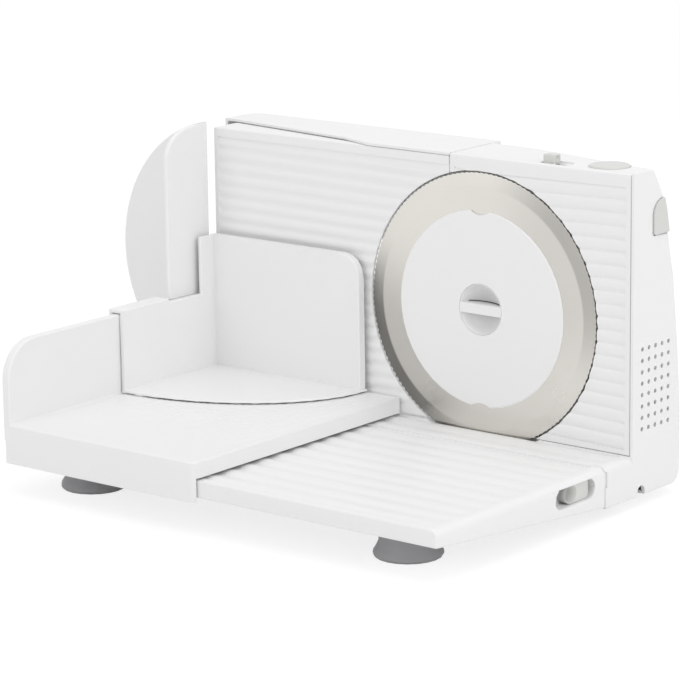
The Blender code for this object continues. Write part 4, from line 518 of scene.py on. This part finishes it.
# Each value of the disc, and the sum that gives it from the sizes and from values above it.
BLADE_SUMS = (
    ("steps round", "MULTIPLY", "Teeth", STEPS_PER_TOOTH),
    ("columns", "ADD", "steps round", 1),
    ("row", "MODULO", "index", len(BLADE_SECTION)),
    ("columns passed", "DIVIDE", "index", len(BLADE_SECTION)),
    ("column", "FLOOR", "columns passed", 0),
    ("band outer", "SUBTRACT", "Radius", "Bevel width"),
    ("band inner", "SUBTRACT", "band outer", "Band width"),
    ("dish", "SUBTRACT", "band inner", "Dish run"),
    ("crown", "MULTIPLY", "Crown", -1),
    ("deep", "ADD", "Dish depth", "crown"),
    ("ease", "MULTIPLY", "Thickness", EASE_SHARE),
    ("bevel foot", "ADD", "band outer", "ease"),
    ("band edge", "SUBTRACT", "band outer", "ease"),
    ("bevel rise", "MULTIPLY", "crown", BEVEL_RISE_SHARE),
    ("dish back", "ADD", "deep", "Thickness"),
    ("band back", "ADD", "crown", "Thickness"),
    ("beat", "MULTIPLY", "column", 2 * math.pi / STEPS_PER_TOOTH),
    ("wave", "COSINE", "beat", 0),
    ("drop", "SUBTRACT", "wave", 1),
    ("half drop", "MULTIPLY", "drop", 0.5),
    ("notch", "MULTIPLY", "half drop", "Tooth depth"),
    ("turns", "MULTIPLY", "column", 2 * math.pi),
    ("turn", "DIVIDE", "turns", "steps round"),
    ("cosine", "COSINE", "turn", 0),
    ("sine", "SINE", "turn", 0),
)


def blade_tree(material):
    """Geometry Nodes that turn a grid to the disc: columns run round it, and rows along its section."""
    tree = bpy.data.node_groups.new("serrated_disc", "GeometryNodeTree")
    sizes = with_sizes(tree, BLADE_SIZES)
    values = {name: sizes[name] for name, size in BLADE_SIZES}
    values["index"] = add(tree, "GeometryNodeInputIndex").outputs[0]
    for name, operation, *terms in BLADE_SUMS:
        plain = {at: term for at, term in enumerate(terms) if not isinstance(term, str)}
        joined = {at: values[term] for at, term in enumerate(terms) if isinstance(term, str)}
        values[name] = add(tree, "ShaderNodeMath", {"operation": operation, **plain}, joined).outputs[0]
    picked = []
    for part in range(3):
        choice = add(tree, "GeometryNodeIndexSwitch", {"data_type": "FLOAT"})
        while len(choice.index_switch_items) < len(BLADE_SECTION):
            choice.index_switch_items.new()
        tree.links.new(values["row"], choice.inputs["Index"])
        for row, corner in enumerate(BLADE_SECTION):
            if isinstance(corner[part], str):
                tree.links.new(values[corner[part]], choice.inputs[str(row)])
            else:
                choice.inputs[str(row)].default_value = corner[part]
        picked.append(choice.outputs[0])
    radius, depth, toothed = picked
    reach = add(tree, "ShaderNodeMath", {"operation": "MULTIPLY_ADD"},
                {0: values["notch"], 1: toothed, 2: radius})
    spoke = add(tree, "ShaderNodeCombineXYZ", None, {0: values["cosine"], 2: values["sine"]})
    out = add(tree, "ShaderNodeVectorMath", {"operation": "SCALE"},
              {0: spoke.outputs[0], "Scale": reach.outputs[0]})
    down = add(tree, "ShaderNodeCombineXYZ", None, {1: depth})
    place = add(tree, "ShaderNodeVectorMath", {"operation": "ADD"}, {0: out.outputs[0], 1: down.outputs[0]})
    centred = add(tree, "ShaderNodeVectorMath", {"operation": "ADD", 1: BLADE_CENTRE}, {0: place.outputs[0]})
    grid = add(tree, "GeometryNodeMeshGrid", {"Size X": 1.0, "Size Y": 1.0, "Vertices Y": len(BLADE_SECTION)},
               {"Vertices X": values["columns"]})
    moved = add(tree, "GeometryNodeSetPosition", None,
                {"Geometry": grid.outputs["Mesh"], "Position": centred.outputs[0]})
    closed = add(tree, "GeometryNodeMergeByDistance", {"Distance": 1e-6}, {"Geometry": moved.outputs[0]})
    return end_tree(tree, closed.outputs[0], material)


GROWN_SOFT_DEGREES = 20


def grown(name, tree, sizes=(), path=None):
    """Runs a Geometry Nodes tree on an empty mesh, or on a path, and keeps the result as a plain piece."""
    seed = placed(name + "_seed", bpy.data.meshes.new(name + "_seed"))
    modifier = seed.modifiers.new(name, "NODES")
    modifier.node_group = tree
    if path:
        seed.data.from_pydata(path, [(at, at + 1) for at in range(len(path) - 1)], [])
    sockets = {item.name: item.identifier for item in tree.interface.items_tree if item.in_out == "INPUT"}
    for size, value in sizes:
        modifier[sockets[size]] = value
    bpy.context.view_layer.update()
    shaped = seed.evaluated_get(bpy.context.evaluated_depsgraph_get())
    mesh = bpy.data.meshes.new_from_object(shaped)
    mesh.name = name
    seed.modifiers.remove(modifier)
    bpy.data.objects.remove(seed)
    work = bmesh.new()
    work.from_mesh(mesh)
    bmesh.ops.recalc_face_normals(work, faces=work.faces)
    soften(work, GROWN_SOFT_DEGREES)
    work.to_mesh(mesh)
    work.free()
    return placed(name, mesh)


# Stainless steel ground on a wheel: fine rings, and two dark fans painted in as a reflection of a dim room.
ground_steel_painted_fans = turned_metal("ground_stainless_steel_painted_fans", "E1DED8", 0.30, 0.5, BLADE_CENTRE, (0, 1, 0), 0.5, True)
serrated = grown("serrated_disc", blade_tree(ground_steel_painted_fans), BLADE_SIZES)
settle(serrated, "blade_set", "blade_steel", ground_steel_painted_fans, "blade")

# Hub cover and bayonet knob
# A white ABS disc, polished in the mould, covers the blade's middle, with two finger notches. The knob in
# its middle is a bowl with a grip bar, which locks the blade on its shaft with a quarter turn.
BAND_FACE_Y = FACE_Y - dict(BLADE_SIZES)["Crown"]
COVER_RIM_INNER = 0.03
COVER_RIM_STAND = 0.0003
KNOB_RADIUS = 0.0156
KNOB_RIM = 0.0016
KNOB_LIP = 0.0003
KNOB_HOLE = 0.0170
BAR_HALF = 0.0045
BAR_SQUEEZE = 0.16
BAR_SQUEEZE_REACH = 0.009
# Painted shade in the knob's bowl: the colour greys from its mouth to its floor, down to BOWL_TONE.
BOWL_MOUTH_Y = FACE_Y - 0.0012
BOWL_FLOOR_Y = FACE_Y + 0.0047
BOWL_TONE = 0.64


def disc_on_band(point):
    """The cover's rim is thin where it lies on the blade's band."""
    out = math.hypot(point.x - BLADE_X, point.z - BLADE_Z)
    if out > COVER_RIM_INNER and point.y > FACE_Y:
        return Vector((point.x, BAND_FACE_Y - COVER_RIM_STAND, point.z))
    return point


def bowl_to_the_edge(point):
    """Widens the knob's bowl until only a sharp lip is left of its rim, and narrows the grip bar a little."""
    x, z = point.x - BLADE_X, point.z - BLADE_Z
    out = math.hypot(x, z)
    bowl = KNOB_RADIUS - KNOB_RIM
    wider = out * KNOB_RADIUS / bowl if out <= bowl else KNOB_RADIUS + (out - bowl) * KNOB_LIP / KNOB_RIM
    share = wider / out if out > TINY else 1.0
    squeezed = 1 - BAR_SQUEEZE * max(0.0, 1 - abs(z) / BAR_SQUEEZE_REACH)
    return Vector((BLADE_X + x * share, point.y, BLADE_Z + z * share * squeezed))


def near_knob(point):
    """Whether an edge of the cover lies at the knob's hole, which is left sharp."""
    return math.hypot(point.x - BLADE_X, point.z - BLADE_Z) < KNOB_HOLE


def off_the_bar(point):
    """Whether an edge of the knob lies away from the grip bar, in the bowl, where it is left as it is."""
    return abs(point.z - BLADE_Z) > BAR_HALF


def greyer_inside(material, along, outer, inner, tone):
    """Paints shade into a moulding, darker towards a hollow's bottom, from one place along an axis to another.
    """
    tree = material.node_tree
    shader = next(node for node in tree.nodes if node.type == "BSDF_PRINCIPLED")
    shade = shader.inputs["Base Color"].links[0].from_socket
    place = add(tree, "ShaderNodeSeparateXYZ", None,
                {0: add(tree, "ShaderNodeTexCoord").outputs["Object"]})
    depth = add(tree, "ShaderNodeMapRange",
                {"From Min": outer, "From Max": inner, "To Min": 1.0, "To Max": tone},
                {"Value": place.outputs[along]})
    mixed = add(tree, "ShaderNodeMix", {"data_type": "RGBA", "blend_type": "MULTIPLY", 0: 1.0},
                {6: shade, 7: depth.outputs["Result"]})
    tree.links.new(mixed.outputs[2], shader.inputs["Base Color"])
    return material


# The same ABS from a polished mould: it mirrors the room faintly, so the cover looks smoother than the walls.
gloss_abs = moulded("white_abs_polished", "EFEFEF", 0.32, 1.2, 0.012, 0.004, coat=0.15)
settle(eased("hub_cover", 0.4, keep=near_knob, moved=disc_on_band), "blade_set", "white_gloss", gloss_abs,
       "hub_cover")

# ABS with painted shade, greyer towards the bowl's floor where little light comes in: a deep, soft hollow to
# the eye.
bowl_abs_painted_shade = greyer_inside(moulded("white_abs_bowl_painted_shade", "EFEFEF", 0.34, 1.2, 0.012, 0.004), "Y", BOWL_MOUTH_Y,
                         BOWL_FLOOR_Y, BOWL_TONE)
settle(eased("lock_knob", 0.3, least_face_mm2=0.5, keep=off_the_bar, moved=bowl_to_the_edge), "hub_lock",
       "white_gloss", bowl_abs_painted_shade, "lock_knob")

BEAD_SIZES = (("Radius", 0.0002),)


def bead_tree(material):
    """Geometry Nodes that run a thin round bead along a path."""
    tree = bpy.data.node_groups.new("bead", "GeometryNodeTree")
    tree.interface.new_socket("Path", in_out="INPUT", socket_type="NodeSocketGeometry")
    entry = with_sizes(tree, BEAD_SIZES)
    line = add(tree, "GeometryNodeMeshToCurve", None, {0: entry["Path"]})
    ring = add(tree, "GeometryNodeCurvePrimitiveCircle", {"Resolution": 8}, {"Radius": entry["Radius"]})
    tube = add(tree, "GeometryNodeCurveToMesh", {"Fill Caps": True},
               {"Curve": line.outputs[0], "Profile Curve": ring.outputs[0]})
    return end_tree(tree, tube.outputs[0], material)


# Painted shadow for dark beads put where a narrow gap, which hardly any light reaches, shows a dark hairline.
shadow_gap = moulded("painted_shadow_in_a_narrow_gap", "4A4A49", 0.7, 0.8, 0.02, 0.1)

# A dark bead along the grip bar's upper foot is painted shadow, for the shade in the crease there. It follows
# the bowl's round floor, which the bar meets a little higher the deeper it is.
SLOT_LEFT = -0.0115
SLOT_LENGTH = 0.0250
SLOT_STEPS = 24
BAR_TOP = 0.0032
BAR_FIRST_TOP = 0.0034
BAR_SLOPE = 0.13
BOWL_DEPTH = 0.0065
BOWL_STAND = 0.0020
slot_path = []
for step in range(SLOT_STEPS + 1):
    x = SLOT_LEFT + SLOT_LENGTH * step / SLOT_STEPS
    z = BAR_FIRST_TOP
    for attempt in range(3):
        depth = BOWL_DEPTH * math.sqrt(max(0.0, 1 - (x ** 2 + z ** 2) / KNOB_RADIUS ** 2))
        z = BAR_TOP + BAR_SLOPE * depth
    slot_path.append((BLADE_X + x, FACE_Y - BOWL_STAND + depth, BLADE_Z + z))
knob_slot_painted_shadow = grown("knob_slot_painted_shadow", bead_tree(shadow_gap), (("Radius", 0.00035),), slot_path)
settle(knob_slot_painted_shadow, "hub_lock", "dark_plastic", shadow_gap)

# Folding table and its lock
# The wedge table is a hollow white ABS moulding with broad waves along its top. A grey slider in an oblong
# pocket on its right locks it flat.
settle(eased("folding_table", 0.9), "housing", "white_abs", white_abs, "folding_table")

# Pale grey ABS, satin: the keys, knob and slider stand out softly against the white.
GREY = "D6D6D3"
grey_abs = moulded("pale_grey_abs_satin", GREY, 0.38, 0.6, 0.03, 0.03)
LOCK_FACE_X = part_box("table_lock")[1][0]
DIMPLE_BACK_X = 0.1935
DIMPLE_SHARE = 1.8
# Painted shade in the slider's dimple: the grey darkens from its mouth to its floor, down to DIMPLE_TONE.
DIMPLE_MOUTH = 0.0004
DIMPLE_FLOOR = 0.0034
DIMPLE_TONE = 0.55


def deeper_dimple(point):
    """Sinks the thumb dimple in the slider's face to nearly twice its depth."""
    if DIMPLE_BACK_X < point.x < LOCK_FACE_X - SLIVER:
        return Vector((LOCK_FACE_X - DIMPLE_SHARE * (LOCK_FACE_X - point.x), point.y, point.z))
    return point


# The same grey with painted shade, darker towards the dimple's floor: the eye reads a hollow.
lock_abs = greyer_inside(moulded("pale_grey_abs_dimple_painted_shade", GREY, 0.38, 0.6, 0.03, 0.02), "X",
                         LOCK_FACE_X - DIMPLE_MOUTH, LOCK_FACE_X - DIMPLE_FLOOR, DIMPLE_TONE)
settle(eased("table_lock", 0.4, least_face_mm2=1.5, moved=deeper_dimple), "fold_lock", "pale_grey", lock_abs,
       "table_lock")

# Carriage tray
# A tray moulded in white ABS with rounded edges, a skirt in front and a fence on its left. It runs on the
# table, and fine low ribs on its floor let food slide.
settle(eased("carriage_tray", 1.1, 3), "carriage", "white_abs", white_abs, "carriage_tray")
TRAY_TOP = 0.0433
FENCE_FROM_BLADE = 0.213
FENCE_FOOT_X = BLADE_X - FENCE_FROM_BLADE
TRAY_FRONT_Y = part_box("carriage_tray")[0][1]
RIBS_FROM_FENCE = 0.004
RIBS_FROM_FRONT = 0.006
RIB_SINK = 0.00001
RIB_SIZES = (
    ("Pitch", 0.004),
    ("Count", 35),
    ("Length", 0.1860),
    ("Width", 0.0038),
    ("Height", 0.00032),
)


def rib_tree(material, corner):
    """Geometry Nodes for a comb of low rounded ribs: one rib is swept along Y and repeated along X."""
    tree = bpy.data.node_groups.new("low_ribs", "GeometryNodeTree")
    sizes = with_sizes(tree, RIB_SIZES)
    end = add(tree, "ShaderNodeCombineXYZ", None, {1: sizes["Length"]})
    spine = add(tree, "GeometryNodeCurvePrimitiveLine", None, {"End": end.outputs[0]})
    stations = add(tree, "GeometryNodeResampleCurve", {"Count": 25}, {"Curve": spine.outputs[0]})
    share = add(tree, "GeometryNodeSplineParameter").outputs["Factor"]
    taper = add(tree, "ShaderNodeMapRange",
                {"interpolation_type": "SMOOTHSTEP", "From Min": 0.0, "From Max": 0.5, "To Min": 0.02,
                 "To Max": 1.0}, {"Value": share})
    right = add(tree, "ShaderNodeMath", {"operation": "MULTIPLY", 1: 0.5}, {0: sizes["Width"]})
    left = add(tree, "ShaderNodeMath", {"operation": "MULTIPLY", 1: -0.5}, {0: sizes["Width"]})
    start = add(tree, "ShaderNodeCombineXYZ", None, {0: left.outputs[0]})
    stop = add(tree, "ShaderNodeCombineXYZ", None, {0: right.outputs[0]})
    chord = add(tree, "GeometryNodeCurvePrimitiveLine", None,
                {"Start": start.outputs[0], "End": stop.outputs[0]})
    points = add(tree, "GeometryNodeResampleCurve", {"Count": 9}, {"Curve": chord.outputs[0]})
    place = add(tree, "ShaderNodeSeparateXYZ", None, {0: add(tree, "GeometryNodeInputPosition").outputs[0]})
    across = add(tree, "ShaderNodeMath", {"operation": "DIVIDE"}, {0: place.outputs["X"], 1: sizes["Width"]})
    turn = add(tree, "ShaderNodeMath", {"operation": "MULTIPLY", 1: 2 * math.pi}, {0: across.outputs[0]})
    wave = add(tree, "ShaderNodeMath", {"operation": "COSINE"}, {0: turn.outputs[0]})
    rise = add(tree, "ShaderNodeMath", {"operation": "MULTIPLY_ADD", 1: -0.5, 2: -0.5}, {0: wave.outputs[0]})
    lift = add(tree, "ShaderNodeMath", {"operation": "MULTIPLY"}, {0: rise.outputs[0], 1: sizes["Height"]})
    offset = add(tree, "ShaderNodeCombineXYZ", None, {1: lift.outputs[0]})
    arch = add(tree, "GeometryNodeSetPosition", None,
               {"Geometry": points.outputs[0], "Offset": offset.outputs[0]})
    closed = add(tree, "GeometryNodeSetSplineCyclic", {"Cyclic": True}, {0: arch.outputs[0]})
    rib = add(tree, "GeometryNodeCurveToMesh", {"Fill Caps": True},
              {"Curve": stations.outputs[0], "Profile Curve": closed.outputs[0],
               "Scale": taper.outputs["Result"]})
    pace = add(tree, "ShaderNodeCombineXYZ", None, {0: sizes["Pitch"]})
    row = add(tree, "GeometryNodeMeshLine", {"Start Location": corner},
              {"Count": sizes["Count"], "Offset": pace.outputs[0]})
    comb = add(tree, "GeometryNodeInstanceOnPoints", None,
               {"Points": row.outputs[0], "Instance": rib.outputs[0]})
    return end_tree(tree, comb.outputs[0], material)


ribs_corner = (FENCE_FOOT_X + RIBS_FROM_FENCE, TRAY_FRONT_Y + RIBS_FROM_FRONT, TRAY_TOP - RIB_SINK)
settle(grown("tray_ribs", rib_tree(white_abs, ribs_corner), RIB_SIZES), "carriage", "white_abs", white_abs)

# A dark bead runs along the fence's foot, where it meets the tray's floor: painted shadow, a dark hairline.
FENCE_LENGTH = 0.19
FOOT_LINE_SHARES = (0.008, 0.5, 1.0)
foot_line = [(FENCE_FOOT_X, TRAY_FRONT_Y + share * FENCE_LENGTH, TRAY_TOP) for share in FOOT_LINE_SHARES]
settle(grown("fence_foot_painted_shadow", bead_tree(shadow_gap), (("Radius", 0.00034),), foot_line), "carriage",
       "dark_plastic", shadow_gap)

# Thumb guard
# A round plate beside the gauge plate, with a panel that stands on the fence and keeps the hand from the
# blade. It is one moulding in white ABS and rides with the carriage.
settle(eased("thumb_guard", 1.1, 3), "carriage", "white_abs", white_abs, "thumb_guard")

# Pusher
# The remnant holder, one moulding in white ABS: a wall, a side that hooks over the fence, and a floor with an
# arched edge. It slides along the fence by hand.
PUSHER_LOW, PUSHER_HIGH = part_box("pusher")
WALL_Y = PUSHER_HIGH[1]
SOLID_FLOOR = 0.0032
FLOOR_LESS = 0.0014
FLOOR_TOP = PUSHER_LOW[2] + SOLID_FLOOR
FLOOR_SHARE = 0.96
FLOOR_WIDTH = 0.1245
FLOOR_REACH = (WALL_Y - PUSHER_LOW[1]) * FLOOR_SHARE
SIDE_EDGE = 0.002
FLOOR_SLACK = 0.0001


def thin_floor(point):
    """Thins the floor to about two millimetres, and draws its arch and the side's front edge back."""
    if point.z < FLOOR_TOP + FLOOR_SLACK:
        z = min(point.z, FLOOR_TOP - FLOOR_LESS)
        return Vector((point.x, WALL_Y + (point.y - WALL_Y) * FLOOR_SHARE, z))
    if point.y < PUSHER_LOW[1] + SIDE_EDGE:
        return Vector((point.x, point.y + (WALL_Y - PUSHER_LOW[1]) * (1 - FLOOR_SHARE), point.z))
    return point


settle(eased("pusher", 0.8, 3, moved=thin_floor), "pusher", "white_abs", white_abs, "pusher")

# The floor rides just over the tray, and a dark bead under its arched edge is painted shadow of the gap.
ARCH_STEPS = 40
ARCH_FROM_FENCE = 0.0005
SHADOW_BEAD_INSET = 0.0004
SHADOW_BEAD_RISE = 0.0003
arch = []
for step in range(ARCH_STEPS + 1):
    angle = math.pi / 2 * step / ARCH_STEPS
    arch.append((FENCE_FOOT_X + ARCH_FROM_FENCE + (FLOOR_WIDTH - SHADOW_BEAD_INSET) * math.sin(angle),
                 WALL_Y - (FLOOR_REACH - SHADOW_BEAD_INSET) * math.cos(angle), PUSHER_LOW[2] + SHADOW_BEAD_RISE))
settle(grown("pusher_floor_painted_shadow", bead_tree(shadow_gap), (("Radius", 0.00036),), arch), "pusher",
       "dark_plastic", shadow_gap)

# Controls
# Pale grey ABS keys, moulded apart and dropped into the housing: the round run button, the power slide and
# the side button. The thickness knob at the back is made the same way.
settle(eased("push_button", 0.4, least_face_mm2=0.5), "run_button", "pale_grey", grey_abs, "push_button")

# The run button moves in a thin collar of the housing, which stands clear where the top slopes off behind.
BUTTON_LOW, BUTTON_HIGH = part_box("push_button")
COLLAR_CLEARANCE = 0.00025
COLLAR_WALL = 0.00055
COLLAR_TOP_DROP = 0.00115
COLLAR_FOOT_DROP = 0.0068
COLLAR_STEPS = 128
button_x = (BUTTON_LOW[0] + BUTTON_HIGH[0]) / 2
button_y = (BUTTON_LOW[1] + BUTTON_HIGH[1]) / 2
inner = (BUTTON_HIGH[0] - BUTTON_LOW[0]) / 2 + COLLAR_CLEARANCE
outer = inner + COLLAR_WALL
top = BUTTON_HIGH[2] - COLLAR_TOP_DROP
bottom = BUTTON_HIGH[2] - COLLAR_FOOT_DROP
section = ((inner, bottom), (outer, bottom), (outer, top), (inner, top))
points = []
faces = []
for step in range(COLLAR_STEPS):
    angle = 2 * math.pi * step / COLLAR_STEPS
    for radius, z in section:
        points.append((button_x + radius * math.cos(angle), button_y + radius * math.sin(angle), z))
    here, there = 4 * step, 4 * ((step + 1) % COLLAR_STEPS)
    for corner in range(4):
        after = (corner + 1) % 4
        faces.append((here + corner, there + corner, there + after, here + after))
collar = bpy.data.meshes.new("button_collar")
collar.from_pydata(points, [], faces)
settle(placed("button_collar", collar), "housing", "white_abs", white_abs)


def dimpled(piece, centre, radius):
    """Sinks a part of a ball in a piece, as a thumb dimple."""
    piece.modifiers.clear()
    work = bmesh.new()
    bmesh.ops.create_uvsphere(work, u_segments=32, v_segments=20, radius=radius,
                              matrix=Matrix.Translation(centre) @ Matrix.Rotation(math.pi / 2, 4, "Y"))
    ball = placed("ball", bpy.data.meshes.new("ball"))
    work.to_mesh(ball.data)
    work.free()
    cut = piece.modifiers.new("dimple", "BOOLEAN")
    cut.operation = "DIFFERENCE"
    cut.solver = "EXACT"
    cut.object = ball
    bpy.context.view_layer.update()
    mesh = bpy.data.meshes.new_from_object(piece.evaluated_get(bpy.context.evaluated_depsgraph_get()))
    piece.modifiers.clear()
    bpy.data.objects.remove(ball)
    work = bmesh.new()
    work.from_mesh(mesh)
    soften(work, SOFT_DEGREES)
    work.to_mesh(mesh)
    work.free()
    piece.data = mesh
    even_faces(piece)
    return piece


SWITCH_FROM_FACE = 0.0075
SWITCH_MIDDLE_Z = 0.2055
BALL_OUT = 0.0018
BALL_RADIUS = 0.0027
ball_middle = (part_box("slide_switch")[1][0] + BALL_OUT, FACE_Y + SWITCH_FROM_FACE, SWITCH_MIDDLE_Z)
switch = dimpled(eased("slide_switch", 0.4, least_face_mm2=0.5), ball_middle, BALL_RADIUS)
settle(switch, "power_slide", "pale_grey", grey_abs, "slide_switch")
settle(eased("safety_button", 0.6, least_face_mm2=1.0), "side_button", "pale_grey", grey_abs, "safety_button")
settle(eased("thickness_knob", 0.4, least_face_mm2=2.0), "thickness", "pale_grey", grey_abs, "thickness_knob")

# Suction feet
# Cups of soft grey rubber, moulded, and pressed into bosses under the base and the table. Their thin lips
# grip the worktop.
FEET = ("foot_front_left", "foot_front_right", "foot_rear_left", "foot_rear_right")
# Soft moulded rubber: dull and mid grey, it takes the light without a highlight.
rubber = moulded("soft_rubber_moulded", "A4A4A6", 0.62, 0.8, 0.05, 0.1, ior=1.5)
for foot in FEET:
    settle(eased(foot, 0.3, sharp_degrees=50, least_face_mm2=0.3), "housing", "dark_rubber", rubber, foot)

# Drive, bushes, pins and rods
# What the housing holds inside: a turned shaft in brass bushes, a nylon wheel on a steel worm, the motor's
# plated can, and dark phenolic switch cases. They keep the solids' own shapes.

# Steel, drawn and turned: bright, with thin streaks round each bar.
bright_steel = turned_metal("bright_drawn_steel", "C2C2C2", 0.32, 0.8, (0, 0, 0), (0, 1, 0))
# Plated sheet steel: greyer and duller than the shaft it drives.
plated_steel = turned_metal("plated_motor_can", "9A9A9C", 0.4, 1.0, (0, 0, 0), (1, 0, 0))
# Turned brass: a warm yellow among the greys.
brass = turned_metal("turned_brass", "C09A4A", 0.35, 0.8, (0, 0, 0), (0, 1, 0))
# Nylon as it comes from the mould, undyed: cream and waxy.
nylon = moulded("natural_nylon", "E4DFCF", 0.5, 0.8, 0.02, 0.06)
# Phenolic, moulded: nearly black and dull.
dark_case = moulded("dark_phenolic_case", "343436", 0.5, 0.8, 0.04, 0.08)
INSIDE = (
    (bright_steel, ("blade_shaft", "motor_worm", "gauge_rod_left", "gauge_rod_right", "hinge_pin_left",
                    "hinge_pin_right", "motor_bracket")),
    (plated_steel, ("drive_motor",)),
    (brass, ("front_bush", "rear_bush")),
    (nylon, ("worm_wheel", "gauge_cam")),
    (dark_case, ("switch_body", "safety_switch")),
)
for material, names in INSIDE:
    for name in names:
        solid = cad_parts[name].data
        solid.materials.clear()
        solid.materials.append(material)

# Bottom cover
# A flat plate moulded in white ABS, which closes the base from below. Six cross-recessed steel screws hold
# it, their heads against the plate.
settle(eased("bottom_cover", 0.3), "housing", "white_abs", white_abs, "bottom_cover")
SCREW_SIZES = (
    ("Head radius", 0.0029),
    ("Head height", 0.0010),
    ("Slot width", 0.0006),
    ("Row length", 0.180),
    ("Row gap", 0.044),
)
SCREWS_MIDDLE_X = 0.026


def screw_tree(material, middle):
    """Geometry Nodes for two rows of cross-recessed pan-head screws, heads down."""
    tree = bpy.data.node_groups.new("pan_head_screws", "GeometryNodeTree")
    sizes = with_sizes(tree, SCREW_SIZES)
    crown = add(tree, "ShaderNodeMath", {"operation": "MULTIPLY", 1: 0.72}, {0: sizes["Head radius"]})
    head = add(tree, "GeometryNodeMeshCone", {"Vertices": 28},
               {"Radius Top": crown.outputs[0], "Radius Bottom": sizes["Head radius"],
                "Depth": sizes["Head height"]})
    up = add(tree, "ShaderNodeCombineXYZ", None, {2: sizes["Head height"]})
    recessed = head.outputs[0]
    for first, second in (("Slot width", "Head radius"), ("Head radius", "Slot width")):
        size = add(tree, "ShaderNodeCombineXYZ", None,
                   {0: sizes[first], 1: sizes[second], 2: sizes["Head height"]})
        bar = add(tree, "GeometryNodeMeshCube", None, {"Size": size.outputs[0]})
        raised = add(tree, "GeometryNodeTransform", None, {0: bar.outputs[0], "Translation": up.outputs[0]})
        cut = add(tree, "GeometryNodeMeshBoolean", {"operation": "DIFFERENCE"},
                  {"Mesh 1": recessed, "Mesh 2": raised.outputs[0]})
        recessed = cut.outputs[0]
    grid = add(tree, "GeometryNodeMeshGrid", {"Vertices X": 3, "Vertices Y": 2},
               {"Size X": sizes["Row length"], "Size Y": sizes["Row gap"]})
    spread = add(tree, "GeometryNodeTransform", {"Translation": middle}, {0: grid.outputs["Mesh"]})
    rows = add(tree, "GeometryNodeInstanceOnPoints", {"Rotation": (math.pi, 0, 0.6)},
               {"Points": spread.outputs[0], "Instance": recessed})
    return end_tree(tree, rows.outputs[0], material)


cover_low, cover_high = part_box("bottom_cover")
screws_middle = (SCREWS_MIDDLE_X, (cover_low[1] + cover_high[1]) / 2, cover_low[2])
settle(grown("cover_screws", screw_tree(bright_steel, screws_middle), SCREW_SIZES), "housing", "bright_steel",
       bright_steel)
